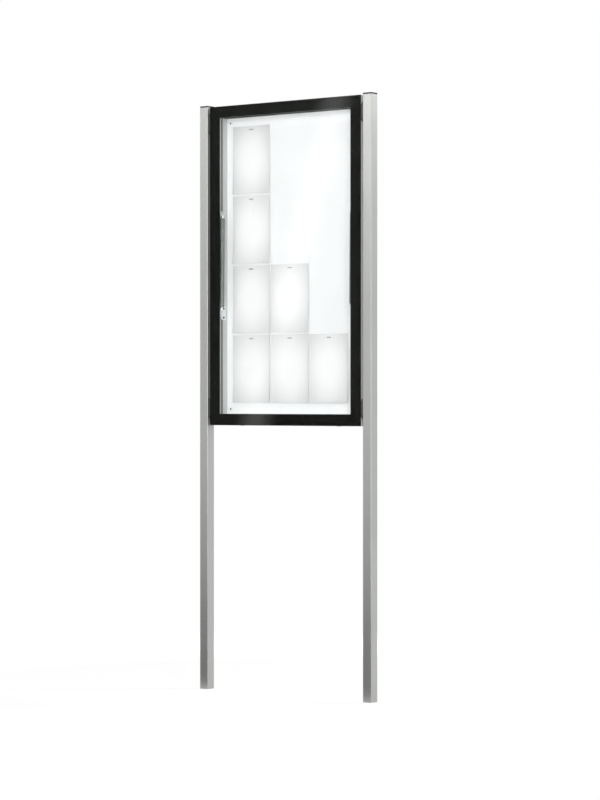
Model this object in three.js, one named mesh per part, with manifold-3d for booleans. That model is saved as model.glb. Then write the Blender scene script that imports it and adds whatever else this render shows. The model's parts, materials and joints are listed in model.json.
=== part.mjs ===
// Lockable notice board: a top-hung glass door on a shallow aluminium case, held between two posts.
// Millimetres. +X runs to the right along the board, +Y to its back, +Z up from the ground line.
import * as THREE from 'three';
import * as BufferGeometryUtils from 'three/addons/utils/BufferGeometryUtils.js';
import Module from 'manifold-3d';

const wasm = await Module();
wasm.setup();

// Board as seen from the front
const doorWidth = 835;
const doorHeight = 1400;
const doorBottom = 1165;
const borderSide = 55;
const borderEnd = 50;

// Depths through the door, from the front of the glass to the back
const glassThickness = 4;
const borderThickness = 0.7;
const bondLine = 1;
const doorFrameDepth = 12;
const doorFrameWidth = 49;
const doorFrameWall = 2;
const doorScrewWallExtra = 0.6;
const doorFrameSoft = 0.8;
const glassArris = 0.5;
const glassCorner = 1.5;
const borderInset = 1;
const borderCorner = 1;
const doorGap = 3.5;

// Case
const caseReveal = 1;
const caseProfile = 50;
const caseWall = 2;
const interiorDepth = 41.5;
const panelThickness = 1.2;
const flangeReach = 30;
const flangeThickness = 2.5;
const rearCoverThickness = 1.5;
const rearCoverReveal = 1;
const rearCoverCorner = 4;
const panelCorner = 1;
const noseSetback = 3;
const noseLength = 8.5;
const wallGroove = { start: 28.8, width: 6.7, depth: 1.5 };
const sealGroove = { inset: 6, width: 6, depth: 3 };
const rearLip = 12;
const cleat = { inset: 14, leg: 75, width: 20, thickness: 4, hole: 2.6 };

// Posts and what holds the case between them
const postSize = 45;
const postWall = 2.5;
const postCorner = 3;
const postBoreCorner = 1.5;
const postAboveDoor = 1;
const postForward = 1;
const capThickness = 6;
const capSkirt = 20;
const capSkirtWall = 2.5;
const capSoft = 1;
const sideGap = 12;
const spacer = { height: 90, width: 40, fromEnd: 73, studPitch: 50 };
const stud = { depth: 32, radius: 4, hole: 4.3, nutRadius: 7.5, nutThickness: 6.5, tail: 4 };

// Hinge
const hinge = {
  below: 3.5, pinRadius: 1.5, knuckleRadius: 2.8, leaf: 1.2, leafHeight: 20, knuckles: 15, endInset: 15,
};

// Gas struts, with both pivots measured from the door's top edge and the front of the glass
const strut = {
  upperPivotDown: 470, upperPivotDepth: 20.5, lowerPivotDown: 907, lowerPivotDepth: 15,
  wallClearance: 1, cylinderRadius: 9, cylinderLength: 392, rodRadius: 4, rodTopSpace: 12, boreBeyondRod: 4,
  crimpFromEnd: 3, crimpDepth: 0.7, endSoft: 1,
  eyeRadius: 8, eyeThickness: 6, eyeNeck: 20, neckRadius: 5, neckOverlap: 1,
  pinRadius: 3, pinHead: 4.5, pinHeadLength: 2, plate: 1.9,
};
const caseBracket = {
  behindFront: 2, width: 26, halfHeight: 29, nose: 9, noseTurn: Math.PI * 0.4, noseRoot: 2,
  screwHole: 2.6, screwFromEnd: 9,
};
const doorBracket = { halfHeight: 10, offFrame: 1 };

// Locks in the bottom rail
const lock = {
  fromSide: 150, depth: 25.5, barrelRadius: 9, plugRadius: 6, flangeRadius: 11, flange: 1.5,
  barrelLength: 22, camLength: 20, camWidth: 10, camThickness: 2.5, camGap: 1.5, camCorner: 2,
  keyWidth: 1.6, keyLength: 8, keyDepth: 3,
};
const keeper = {
  offset: 15, width: 10, tongue: 2, behindCam: 3, lip: 2, lipAboveCam: 0.2,
  plate: 2, plateWidth: 18, plateHeight: 22, plateBelowTongue: 4,
};

// What hangs in the case
const sheet = {
  width: 210, height: 297, thickness: 0.3, columnGap: 6, leastRowGap: 8,
  fromLeft: 83.2, fromBottom: 98, fromTop: 88.5,
};
const laterColumns = [2, 1];
const magnet = { width: 20, height: 5, thickness: 4, down: 16, corner: 1 };
const panelScrew = {
  headRadius: 4, headHeight: 2.4, shankRadius: 2, hole: 2.3, fromWall: 20, fromEnd: 22,
};

// Flat sides of the round forms, and steps of a rounded corner
const sides = {
  stud: 12, nut: 6, knuckle: 12, strut: 20, neck: 16, pin: 16, screw: 16, barrel: 28, plug: 24,
};
const steps = {
  smallCorner: 1, corner: 2, spacerEnd: 4, screwHole: 6, cleatHole: 3, eye: 9, bracket: 6, seal: 6,
};

// Clearances
const seat = 0.3;
const running = 0.3;
const mitreGap = 0.15;
const panelClearance = 0.5;
const hingeRelief = 0.35;
const keeperSide = 1;

// Places worked out from the sizes above
const doorTop = doorBottom + doorHeight;
const doorMiddle = doorBottom + doorHeight / 2;
const frameFront = glassThickness + bondLine;
const doorRear = frameFront + doorFrameDepth;
const caseFront = doorRear + doorGap;
const panelFront = caseFront + interiorDepth;
const flangeFront = panelFront + panelThickness + seat;
const caseBack = flangeFront + flangeThickness;
const caseDepth = caseBack - caseFront;
const rearCoverBack = caseBack + seat + rearCoverThickness;
const caseWidth = doorWidth + 2 * caseReveal;
const caseHeight = doorHeight + 2 * caseReveal;
const caseBottom = doorBottom - caseReveal;
const insideHalfWidth = caseWidth / 2 - caseProfile;
const insideHalfHeight = caseHeight / 2 - caseProfile;
const postTop = doorTop + postAboveDoor;
const postInner = caseWidth / 2 + sideGap;
const postCentre = postInner + postSize / 2;
const postMiddleDepth = postSize / 2 - postForward;
const hingeAxisDepth = doorRear + doorGap / 2;
const hingeAxisHeight = doorTop - hinge.below;
const hingeSeatDepth = hinge.knuckleRadius + hingeRelief - doorGap / 2;
const lockDepth = caseFront + lock.depth;
const lockX = caseWidth / 2 - lock.fromSide;
const strutFromWall = strut.cylinderRadius + strut.wallClearance;
const collarEnd = strutFromWall - strut.eyeThickness / 2 - seat;

// Materials
const finishes = {
  anodised: { color: 0xbfc0be, metalness: 0.85, roughness: 0.42 },
  blackPlastic: { color: 0x2b2c2b, metalness: 0, roughness: 0.6 },
  darkRubber: { color: 0x3a3b39, metalness: 0, roughness: 0.8 },
  whiteEnamel: { color: 0xf6f7f7, metalness: 0, roughness: 0.35 },
  blackEnamel: { color: 0x1c1d1b, metalness: 0, roughness: 0.12 },
  clearGlass: { color: 0xdfe8e4, metalness: 0, roughness: 0.03, transparent: true, opacity: 0.25 },
  stainless: { color: 0xc9cac8, metalness: 1, roughness: 0.3 },
  strutPaint: { color: 0x6f716f, metalness: 0.5, roughness: 0.4 },
  chrome: { color: 0xd8d9d8, metalness: 1, roughness: 0.12 },
  zinc: { color: 0xc6c8c6, metalness: 0.9, roughness: 0.45 },
  paper: { color: 0xe6e7e6, metalness: 0, roughness: 0.85 },
  magnetGrey: { color: 0x8d8f8d, metalness: 0.7, roughness: 0.4 },
};

function finish(name) {
  return new THREE.MeshStandardMaterial(finishes[name]);
}

// Every piece is a mesh with its own material, added to the group that carries it
function addPiece(group, name, geometry, finishName) {
  const mesh = new THREE.Mesh(geometry, finish(finishName));
  mesh.name = name;
  group.add(mesh);
  return mesh;
}

// Solids for cutting and joining
function toSolid(geometry) {
  const bare = geometry.clone();
  bare.deleteAttribute('normal');
  bare.deleteAttribute('uv');
  const merged = BufferGeometryUtils.mergeVertices(bare, 1e-4);
  return new wasm.Manifold(new wasm.Mesh({
    numProp: 3,
    vertProperties: new Float32Array(merged.attributes.position.array),
    triVerts: new Uint32Array(merged.index.array),
  }));
}

function toGeometry(solid) {
  const mesh = solid.getMesh();
  const geometry = new THREE.BufferGeometry();
  geometry.setAttribute('position', new THREE.BufferAttribute(new Float32Array(mesh.vertProperties), 3));
  geometry.setIndex(new THREE.BufferAttribute(new Uint32Array(mesh.triVerts), 1));
  return geometry;
}

function join(...geometries) {
  return toGeometry(geometries.map(toSolid).reduce((whole, next) => whole.add(next)));
}

function cut(geometry, tools) {
  const solid = tools.map(toSolid).reduce((whole, tool) => whole.subtract(tool), toSolid(geometry));
  return toGeometry(solid);
}

// Simple forms in the axes of the group that they are made for
function block(width, depth, height, x, y, z) {
  return new THREE.BoxGeometry(width, depth, height).translate(x, y, z);
}

function rodAlongX(radius, from, to, y, z, sideCount) {
  const rod = new THREE.CylinderGeometry(radius, radius, Math.abs(to - from), sideCount);
  return rod.rotateZ(Math.PI / 2).translate((from + to) / 2, y, z);
}

// A rod on the Z axis itself
function rodAlongZ(radius, from, to, sideCount) {
  const rod = new THREE.CylinderGeometry(radius, radius, to - from, sideCount);
  return rod.rotateX(Math.PI / 2).translate(0, 0, (from + to) / 2);
}

function roundHole(x, y, radius) {
  const hole = new THREE.Path();
  hole.absarc(x, y, radius, 0, Math.PI * 2, true);
  return hole;
}

function roundedRectangle(width, height, radius) {
  const x = width / 2 - radius;
  const y = height / 2 - radius;
  const shape = new THREE.Shape();
  shape.absarc(x, y, radius, 0, Math.PI / 2);
  shape.absarc(-x, y, radius, Math.PI / 2, Math.PI);
  shape.absarc(-x, -y, radius, Math.PI, Math.PI * 1.5);
  shape.absarc(x, -y, radius, Math.PI * 1.5, Math.PI * 2);
  shape.closePath();
  return shape;
}

function rectanglePath(left, right, low, high) {
  return new THREE.Path([
    new THREE.Vector2(left, low), new THREE.Vector2(left, high),
    new THREE.Vector2(right, high), new THREE.Vector2(right, low),
  ]);
}

// An outline drawn in X and Y, carried up along Z
function extruded(shape, depth, curveSegments) {
  return new THREE.ExtrudeGeometry(shape, { depth, bevelEnabled: false, curveSegments });
}

// A flat plate whose outline lies in X and Z, from its front face back
function plate(shape, front, thickness, curveSegments) {
  const geometry = extruded(shape, thickness, curveSegments);
  return geometry.rotateX(Math.PI / 2).translate(0, front + thickness, 0);
}

// A plate whose outline lies in Y and Z, with its thickness along X
function sidePlate(shape, from, thickness, curveSegments) {
  const geometry = extruded(shape, thickness, curveSegments);
  return geometry.rotateX(Math.PI / 2).rotateZ(Math.PI / 2).translate(from, 0, 0);
}

function shapeFrom(points) {
  return new THREE.Shape(points.map(([u, v]) => new THREE.Vector2(u, v)));
}

// A form turned about Y from pairs of radius and height
function turned(profile, sideCount) {
  return new THREE.LatheGeometry(profile.map(([r, y]) => new THREE.Vector2(r, y)), sideCount);
}

// A rail mitred at both ends: its section runs inwards in X and back in Y, its length is centred on Z
function mitredRail(section, length) {
  const rail = extruded(section, 1, steps.smallCorner);
  const place = rail.attributes.position;
  for (let i = 0; i < place.count; i += 1) {
    const reach = length / 2 - mitreGap - place.getX(i);
    place.setZ(i, place.getZ(i) < 0.5 ? -reach : reach);
  }
  return rail;
}

const railTurn = { left: 0, top: Math.PI / 2, right: Math.PI, bottom: -Math.PI / 2 };

// Sets a rail on its side of a rectangle, with its outer face on the rectangle's edge
function placeRail(mesh, side, halfWidth, halfHeight, depth) {
  const across = { left: -halfWidth, right: halfWidth, top: 0, bottom: 0 };
  const above = { left: 0, right: 0, top: halfHeight, bottom: -halfHeight };
  mesh.rotation.y = railTurn[side];
  mesh.position.set(across[side], depth, doorMiddle + above[side]);
}

// Case profile: an open-backed channel with a seal groove in its front and a flange behind the panel
function caseSection(withHingeSeat) {
  const inner = caseProfile;
  const nose = inner - noseSetback;
  const grooveOut = inner - sealGroove.inset - sealGroove.width;
  const grooveIn = inner - sealGroove.inset;
  const boss = sealGroove.depth + caseWall;
  const stepEnd = wallGroove.start + wallGroove.width;
  const flange = flangeFront - caseFront;
  const hingeSeatHeight = caseReveal + hinge.below + hinge.knuckleRadius + 2 * hingeRelief;
  const frontWall = withHingeSeat ? caseWall + hingeSeatDepth : caseWall;
  const start = withHingeSeat
    ? [[0, hingeSeatDepth], [hingeSeatHeight, hingeSeatDepth], [hingeSeatHeight, 0]]
    : [[0, 0]];
  return shapeFrom([
    ...start,
    [grooveOut, 0], [grooveOut, sealGroove.depth], [grooveIn, sealGroove.depth], [grooveIn, 0],
    [nose, 0], [nose, noseLength], [inner, noseLength],
    [inner, wallGroove.start], [inner - wallGroove.depth, wallGroove.start],
    [inner - wallGroove.depth, stepEnd], [inner, stepEnd],
    [inner, flange], [inner + flangeReach, flange], [inner + flangeReach, caseDepth],
    [inner - rearLip, caseDepth], [inner - rearLip, flange], [inner - caseWall, flange],
    [inner - caseWall, stepEnd + caseWall], [inner - caseWall - wallGroove.depth, stepEnd + caseWall],
    [inner - caseWall - wallGroove.depth, wallGroove.start - caseWall],
    [inner - caseWall, wallGroove.start - caseWall], [inner - caseWall, noseLength + caseWall],
    [nose - caseWall, noseLength + caseWall], [nose - caseWall, boss],
    [grooveOut - caseWall, boss], [grooveOut - caseWall, frontWall],
    [caseWall, frontWall], [caseWall, caseDepth - caseWall],
    [rearLip, caseDepth - caseWall], [rearLip, caseDepth], [0, caseDepth],
  ]);
}

function spacerHeights() {
  const reach = caseHeight / 2 - caseReveal - spacer.fromEnd;
  return { upper: doorMiddle + reach, lower: doorMiddle - reach };
}

// Heights of all studs on one side
function studHeights() {
  const half = spacer.studPitch / 2;
  return Object.values(spacerHeights()).flatMap((z) => [z - half, z + half]);
}

function buildCaseRails(board) {
  for (const side of ['top', 'bottom', 'left', 'right']) {
    const upright = side === 'left' || side === 'right';
    let rail = mitredRail(caseSection(side === 'top'), upright ? caseHeight : caseWidth);
    if (upright) rail = cut(rail, studHoles());
    if (side === 'bottom') rail = cut(rail, lockOpenings());
    const mesh = addPiece(board, `case_${side}_rail`, rail, 'anodised');
    placeRail(mesh, side, caseWidth / 2, caseHeight / 2, caseFront);
  }
}

// Holes through a side rail's outer wall, in the rail's own axes
function studHoles() {
  const v = stud.depth - caseFront;
  return studHeights().map((z) => (
    rodAlongX(stud.hole, -caseWall, 2 * caseWall, v, z - doorMiddle, sides.stud)
  ));
}

// Barrel holes and keeper slots of the bottom rail, in the rail's own axes
function lockOpenings() {
  const tongueTop = camTop() + lock.camGap + keeper.tongue;
  const slotLow = camBottom() - 2 * running;
  const slotHeight = tongueTop + lock.camGap - slotLow;
  const slotCentre = slotLow + slotHeight / 2 - caseBottom;
  return [-1, 1].flatMap((side) => {
    const along = -side * lockX;
    const hole = lock.barrelRadius + running;
    const slotAlong = -side * (lockX - keeper.offset);
    return [
      rodAlongX(hole, -caseWall, 2 * caseWall, lock.depth, along, sides.barrel),
      block(slotHeight, 4 * caseWall, keeper.width + 2 * keeperSide, slotCentre, 0, slotAlong),
    ];
  });
}

// L-shaped cleats that hold the case's mitred corners from inside the channel
function buildCleats(board) {
  const shape = shapeFrom([
    [0, 0], [cleat.leg, 0], [cleat.leg, cleat.width],
    [cleat.width, cleat.width], [cleat.width, cleat.leg], [0, cleat.leg],
  ]);
  for (const along of [cleat.leg / 2, cleat.leg - cleat.width / 2]) {
    shape.holes.push(roundHole(along, cleat.width / 2, cleat.hole));
    shape.holes.push(roundHole(cleat.width / 2, along, cleat.hole));
  }
  const corners = { lower_left: 0, lower_right: 1, upper_right: 2, upper_left: 3 };
  for (const [name, quarter] of Object.entries(corners)) {
    const upper = name.startsWith('upper');
    const front = caseFront + caseWall + seat + (upper ? hingeSeatDepth : 0);
    const form = plate(shape, front, cleat.thickness, steps.cleatHole);
    const mesh = addPiece(board, `case_cleat_${name}`, form, 'zinc');
    const x = caseWidth / 2 - cleat.inset;
    const z = caseHeight / 2 - cleat.inset;
    mesh.rotation.y = -quarter * Math.PI / 2;
    mesh.position.set(name.endsWith('left') ? -x : x, 0, doorMiddle + (upper ? z : -z));
  }
}

function buildPanels(board) {
  const halfWidth = insideHalfWidth - panelClearance;
  const halfHeight = insideHalfHeight - panelClearance;
  const screwX = insideHalfWidth - panelScrew.fromWall;
  const screwZ = insideHalfHeight - panelScrew.fromEnd;
  const shape = roundedRectangle(2 * halfWidth, 2 * halfHeight, panelCorner);
  const screwPlaces = [];
  for (const [height, z] of [['upper', screwZ], ['lower', -screwZ]]) {
    for (const [side, x] of [['left', -screwX], ['right', screwX]]) {
      shape.holes.push(roundHole(x, z, panelScrew.hole));
      screwPlaces.push([`panel_screw_${height}_${side}`, x, z]);
    }
  }
  const panelForm = plate(shape, panelFront, panelThickness, steps.screwHole);
  const panel = addPiece(board, 'back_panel', panelForm, 'whiteEnamel');
  panel.position.z = doorMiddle;
  for (const [name, x, z] of screwPlaces) {
    const screw = addPiece(board, name, panelScrewForm(), 'stainless');
    screw.position.set(x, panelFront - seat, doorMiddle + z);
  }
  const coverWidth = caseWidth - 2 * rearCoverReveal;
  const coverHeight = caseHeight - 2 * rearCoverReveal;
  const cover = roundedRectangle(coverWidth, coverHeight, rearCoverCorner);
  const coverForm = plate(cover, caseBack + seat, rearCoverThickness, steps.corner);
  addPiece(board, 'rear_cover', coverForm, 'anodised').position.z = doorMiddle;
}

// A pan-head screw along Y: its head in front of the panel, its shank through the panel to the flange
function panelScrewForm() {
  const { headRadius, headHeight, shankRadius } = panelScrew;
  const shank = flangeFront - panelFront;
  const profile = [
    [0, -shank], [shankRadius, -shank], [shankRadius, 0], [headRadius, 0],
    [headRadius, headHeight * 0.4], [headRadius * 0.75, headHeight * 0.9], [0, headHeight],
  ];
  return turned(profile, sides.screw).rotateX(Math.PI);
}

// Seal: one ring with mitred corners, seated in the case's groove, with a round nose against the door
function buildSeal(board) {
  const centre = sealGroove.inset + sealGroove.width / 2;
  const half = sealGroove.width / 2 - seat;
  const root = sealGroove.depth - seat;
  const tip = doorGap - running;
  const section = [[centre + half, root], [centre - half, root]];
  for (let i = 0; i <= steps.seal; i += 1) {
    const turn = Math.PI * i / steps.seal;
    section.push([centre - half * Math.cos(turn), half - tip - half * Math.sin(turn)]);
  }
  const seal = addPiece(board, 'door_seal', ringFromSection(section), 'darkRubber');
  seal.position.set(0, caseFront, doorMiddle);
}

// Carries a section, given as distance outside the opening and depth, round the rectangular opening
function ringFromSection(section) {
  const corners = [[-1, -1], [1, -1], [1, 1], [-1, 1]];
  const positions = [];
  for (const [right, up] of corners) {
    for (const [out, depth] of section) {
      positions.push(right * (insideHalfWidth + out), depth, up * (insideHalfHeight + out));
    }
  }
  const count = section.length;
  const index = [];
  for (let corner = 0; corner < 4; corner += 1) {
    for (let i = 0; i < count; i += 1) {
      const here = corner * count;
      const next = ((corner + 1) % 4) * count;
      const j = (i + 1) % count;
      index.push(here + i, here + j, next + j, here + i, next + j, next + i);
    }
  }
  const ring = new THREE.BufferGeometry();
  ring.setAttribute('position', new THREE.Float32BufferAttribute(positions, 3));
  ring.setIndex(index);
  return ring;
}

// Posts: square tubes with open feet for setting in the ground
function buildPosts(board) {
  for (const [name, side] of [['left', -1], ['right', 1]]) {
    const outline = roundedRectangle(postSize, postSize, postCorner);
    const bore = roundedRectangle(postSize - 2 * postWall, postSize - 2 * postWall, postBoreCorner);
    outline.holes.push(new THREE.Path(bore.getPoints(steps.corner).reverse()));
    const tube = extruded(outline, postTop, steps.corner);
    const wallFrom = -side * (postSize / 2 + postWall);
    const wallTo = -side * (postSize / 2 - 2 * postWall);
    const depth = stud.depth - postMiddleDepth;
    const holes = studHeights().map((z) => rodAlongX(stud.hole, wallFrom, wallTo, depth, z, sides.stud));
    const post = addPiece(board, `${name}_post`, cut(tube, holes), 'anodised');
    post.position.set(side * postCentre, postMiddleDepth, 0);
    const cap = addPiece(board, `${name}_post_cap`, postCapForm(), 'blackPlastic');
    cap.position.set(side * postCentre, postMiddleDepth, postTop + seat);
  }
}

// A push-in cap: a plate with a softened rim over a hollow skirt that goes into the tube
function postCapForm() {
  const flat = postSize - 2 * capSoft;
  const top = new THREE.ExtrudeGeometry(roundedRectangle(flat, flat, postCorner), {
    depth: capThickness - 2 * capSoft,
    bevelSize: capSoft,
    bevelThickness: capSoft,
    bevelSegments: 2,
    curveSegments: steps.corner,
  });
  const outer = postSize - 2 * postWall - 2 * seat;
  const inner = outer - 2 * capSkirtWall;
  const skirt = roundedRectangle(outer, outer, postBoreCorner);
  skirt.holes.push(rectanglePath(-inner / 2, inner / 2, -inner / 2, inner / 2));
  const skirtForm = extruded(skirt, capSkirt + capSoft, steps.smallCorner);
  return join(top.translate(0, 0, capSoft), skirtForm.translate(0, 0, -capSkirt));
}

// Oblong spacers with two threaded studs, nutted inside the case channel and inside the post
function buildSpacers(board) {
  for (const [level, z] of Object.entries(spacerHeights())) {
    for (const [name, side] of [['left', -1], ['right', 1]]) {
      const piece = addPiece(board, `${level}_${name}_spacer`, spacerForm(side), 'blackPlastic');
      piece.position.set(side * (caseWidth / 2 + sideGap / 2), postMiddleDepth, z);
    }
  }
}

function spacerForm(side) {
  const { width, height, studPitch } = spacer;
  const outline = roundedRectangle(width, height, width / 2);
  const pad = sidePlate(outline, seat / 2 - sideGap / 2, sideGap - seat, steps.spacerEnd);
  const nutFaces = { case: -sideGap / 2 - caseWall - seat, post: sideGap / 2 + postWall + seat };
  const from = nutFaces.case - stud.nutThickness - stud.tail;
  const to = nutFaces.post + stud.nutThickness + stud.tail;
  const y = stud.depth - postMiddleDepth;
  const nut = (near, far, z) => rodAlongX(stud.nutRadius, side * near, side * far, y, z, sides.nut);
  const forms = [-studPitch / 2, studPitch / 2].flatMap((z) => [
    rodAlongX(stud.radius, side * from, side * to, y, z, sides.stud),
    nut(nutFaces.case, nutFaces.case - stud.nutThickness, z),
    nut(nutFaces.post, nutFaces.post + stud.nutThickness, z),
  ]);
  return join(pad, ...forms);
}

// Door leaf
function doorSection(withHingeSeat) {
  const seatHeight = hinge.below + hinge.knuckleRadius + 2 * hingeRelief;
  const seatDepth = doorFrameDepth - hingeSeatDepth;
  const end = withHingeSeat
    ? [[seatHeight, doorFrameDepth], [seatHeight, seatDepth], [0, seatDepth]]
    : [[0, doorFrameDepth]];
  const section = shapeFrom([
    [0, 0], [doorFrameWidth - doorFrameSoft, 0], [doorFrameWidth, doorFrameSoft],
    [doorFrameWidth, doorFrameDepth], ...end,
  ]);
  const chamberStart = seatHeight + doorFrameWall;
  const chamberEnd = doorFrameWidth - doorFrameWall;
  const web = (chamberStart + chamberEnd) / 2;
  const screwWall = doorFrameWall + doorScrewWallExtra;
  section.holes.push(rectanglePath(
    chamberStart, web - doorFrameWall / 2, doorFrameWall, doorFrameDepth - doorFrameWall,
  ));
  section.holes.push(rectanglePath(
    web + doorFrameWall / 2, chamberEnd, screwWall, doorFrameDepth - screwWall,
  ));
  return section;
}

function buildDoorLeaf(door) {
  for (const side of ['top', 'bottom', 'left', 'right']) {
    const upright = side === 'left' || side === 'right';
    const rail = mitredRail(doorSection(side === 'top'), upright ? doorHeight : doorWidth);
    const mesh = addPiece(door, `door_${side}_rail`, rail, 'anodised');
    placeRail(mesh, side, doorWidth / 2, doorHeight / 2, frameFront);
  }
  const pane = roundedRectangle(doorWidth - 2 * glassArris, doorHeight - 2 * glassArris, glassCorner);
  const glass = new THREE.ExtrudeGeometry(pane, {
    depth: glassThickness - 2 * glassArris,
    bevelSize: glassArris,
    bevelThickness: glassArris,
    bevelSegments: 1,
    curveSegments: steps.corner,
  });
  glass.rotateX(Math.PI / 2).translate(0, glassThickness - glassArris, 0);
  addPiece(door, 'door_glass', glass, 'clearGlass').position.z = doorMiddle;
  const ring = roundedRectangle(doorWidth - 2 * borderInset, doorHeight - 2 * borderInset, borderCorner);
  const halfWidth = doorWidth / 2 - borderSide;
  const halfHeight = doorHeight / 2 - borderEnd;
  ring.holes.push(rectanglePath(-halfWidth, halfWidth, -halfHeight, halfHeight));
  const borderFront = glassThickness + (bondLine - borderThickness) / 2;
  const borderForm = plate(ring, borderFront, borderThickness, steps.smallCorner);
  addPiece(door, 'glass_border', borderForm, 'blackEnamel').position.z = doorMiddle;
}

// Continuous hinge: two leaves whose knuckles take turns on one pin
function buildHinge(board, door) {
  const length = doorWidth - 2 * hinge.endInset;
  const pitch = length / hinge.knuckles;
  const { leaf, leafHeight, knuckleRadius, pinRadius } = hinge;
  const clear = knuckleRadius + running;
  for (const [name, group, parity, faceSide] of [['case', board, 0, 1], ['door', door, 1, -1]]) {
    const flat = faceSide * (doorGap / 2 - seat - leaf / 2);
    const forms = [block(length, leaf, leafHeight - clear, 0, flat, -(clear + leafHeight) / 2)];
    for (let i = parity; i < hinge.knuckles; i += 2) {
      const from = -length / 2 + i * pitch + running / 2;
      const to = from + pitch - running;
      forms.push(rodAlongX(knuckleRadius, from, to, 0, 0, sides.knuckle));
      forms.push(block(to - from, leaf, leafHeight / 2, (from + to) / 2, flat, -leafHeight / 4));
    }
    const bore = rodAlongX(pinRadius + running, -length, length, 0, 0, sides.knuckle);
    const form = cut(join(...forms), [bore]);
    const mesh = addPiece(group, `hinge_${name}_leaf`, form, 'stainless');
    mesh.position.set(0, hingeAxisDepth, hingeAxisHeight);
  }
  const pinForm = rodAlongX(pinRadius, -length / 2, length / 2, 0, 0, sides.knuckle);
  const pin = addPiece(board, 'hinge_pin', pinForm, 'stainless');
  pin.position.set(0, hingeAxisDepth, hingeAxisHeight);
}

// Gas struts, one on each side wall
function buildStruts(board, door) {
  const upperZ = doorTop - strut.upperPivotDown;
  const lowerZ = doorTop - strut.lowerPivotDown;
  const reach = Math.hypot(upperZ - lowerZ, strut.upperPivotDepth - strut.lowerPivotDepth);
  const lean = Math.atan2(strut.upperPivotDepth - strut.lowerPivotDepth, upperZ - lowerZ);
  for (const [name, side] of [['left', -1], ['right', 1]]) {
    const wall = side * insideHalfWidth;
    const centre = side * (insideHalfWidth - strutFromWall);
    const leaning = new THREE.Group();
    leaning.position.set(centre, strut.lowerPivotDepth, lowerZ);
    leaning.rotation.x = -lean;
    board.add(leaning);
    addPiece(leaning, `${name}_strut_rod`, strutRodForm(reach), 'chrome');
    addPiece(leaning, `${name}_strut_cylinder`, strutCylinderForm(reach), 'strutPaint');
    const lower = addPiece(board, `${name}_strut_case_bracket`, caseBracketForm(side), 'zinc');
    lower.position.set(wall, strut.lowerPivotDepth, lowerZ);
    const upper = addPiece(door, `${name}_strut_door_bracket`, doorBracketForm(side), 'zinc');
    upper.position.set(wall, strut.upperPivotDepth, upperZ);
  }
}

// An eye along X with its neck pointing up or down the strut
function eyeForm(height, towards) {
  const outline = new THREE.Shape();
  outline.absarc(0, 0, strut.eyeRadius, 0, Math.PI * 2);
  outline.holes.push(roundHole(0, 0, strut.pinRadius + running));
  const eye = sidePlate(outline, -strut.eyeThickness / 2, strut.eyeThickness, steps.eye);
  const from = height + towards * (strut.eyeRadius - 2 * strut.neckOverlap);
  const to = height + towards * (strut.eyeNeck + strut.neckOverlap);
  const neck = rodAlongZ(strut.neckRadius, Math.min(from, to), Math.max(from, to), sides.neck);
  return join(eye.translate(0, 0, height), neck);
}

function strutRodForm(reach) {
  const top = reach - strut.eyeNeck - strut.rodTopSpace;
  return join(eyeForm(0, 1), rodAlongZ(strut.rodRadius, strut.eyeNeck, top, sides.neck));
}

function strutCylinderForm(reach) {
  const top = reach - strut.eyeNeck;
  const low = top - strut.cylinderLength;
  const bore = strut.rodRadius + running;
  const boreTop = top - strut.rodTopSpace + strut.boreBeyondRod;
  const radius = strut.cylinderRadius;
  const soft = strut.endSoft;
  const crimp = low + strut.crimpFromEnd;
  const waist = radius - strut.crimpDepth;
  const shoulder = strut.crimpFromEnd;
  const tube = turned([
    [0, boreTop], [bore, boreTop], [bore, low], [radius - soft, low], [radius, low + soft],
    [radius, crimp], [waist, crimp + soft], [waist, crimp + 2 * soft], [radius, crimp + 3 * soft],
    [radius, top - shoulder], [radius - shoulder, top], [0, top],
  ], sides.strut);
  return join(tube.rotateX(Math.PI / 2), eyeForm(reach, -1));
}

// Plate on the case wall: screwed behind the pivot, with a nose that carries the pin forward
function caseBracketForm(side) {
  const { width, halfHeight, nose, noseTurn, noseRoot, screwHole, screwFromEnd } = caseBracket;
  const backLow = caseFront - strut.lowerPivotDepth + caseBracket.behindFront;
  const backHigh = backLow + width;
  const shape = new THREE.Shape();
  shape.moveTo(backLow, -halfHeight);
  shape.lineTo(backHigh, -halfHeight);
  shape.lineTo(backHigh, halfHeight);
  shape.lineTo(backLow, halfHeight);
  shape.lineTo(-noseRoot, nose);
  shape.absarc(0, 0, nose, Math.PI - noseTurn, Math.PI + noseTurn);
  shape.lineTo(-noseRoot, -nose);
  for (const z of [screwFromEnd - halfHeight, halfHeight - screwFromEnd]) {
    shape.holes.push(roundHole(backLow + width / 2, z, screwHole));
  }
  const { pinRadius, pinHead } = strut;
  const eyeEnd = strutFromWall + strut.eyeThickness / 2 + seat;
  const headEnd = eyeEnd + strut.pinHeadLength;
  return join(
    depthPlate(shape, side),
    rodAlongX(pinRadius, -side * strut.plate, -side * headEnd, 0, 0, sides.pin),
    rodAlongX(pinHead, -side * strut.plate, -side * collarEnd, 0, 0, sides.pin),
    rodAlongX(pinHead, -side * eyeEnd, -side * headEnd, 0, 0, sides.pin),
  );
}

// Plate on the door frame's inner face, with a stub that ends just short of the strut's eye
function doorBracketForm(side) {
  const { halfHeight } = doorBracket;
  const front = frameFront - strut.upperPivotDepth + doorBracket.offFrame;
  const shape = new THREE.Shape();
  shape.moveTo(front, -halfHeight);
  shape.lineTo(0, -halfHeight);
  shape.absarc(0, 0, halfHeight, -Math.PI / 2, Math.PI / 2);
  shape.lineTo(front, halfHeight);
  const stub = rodAlongX(strut.pinRadius, -side * strut.plate, -side * collarEnd, 0, 0, sides.pin);
  return join(depthPlate(shape, side), stub);
}

// A bracket plate drawn in depth and height, lying just off the inner wall
function depthPlate(shape, side) {
  return sidePlate(shape, side > 0 ? -strut.plate : seat, strut.plate - seat, steps.bracket);
}

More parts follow.
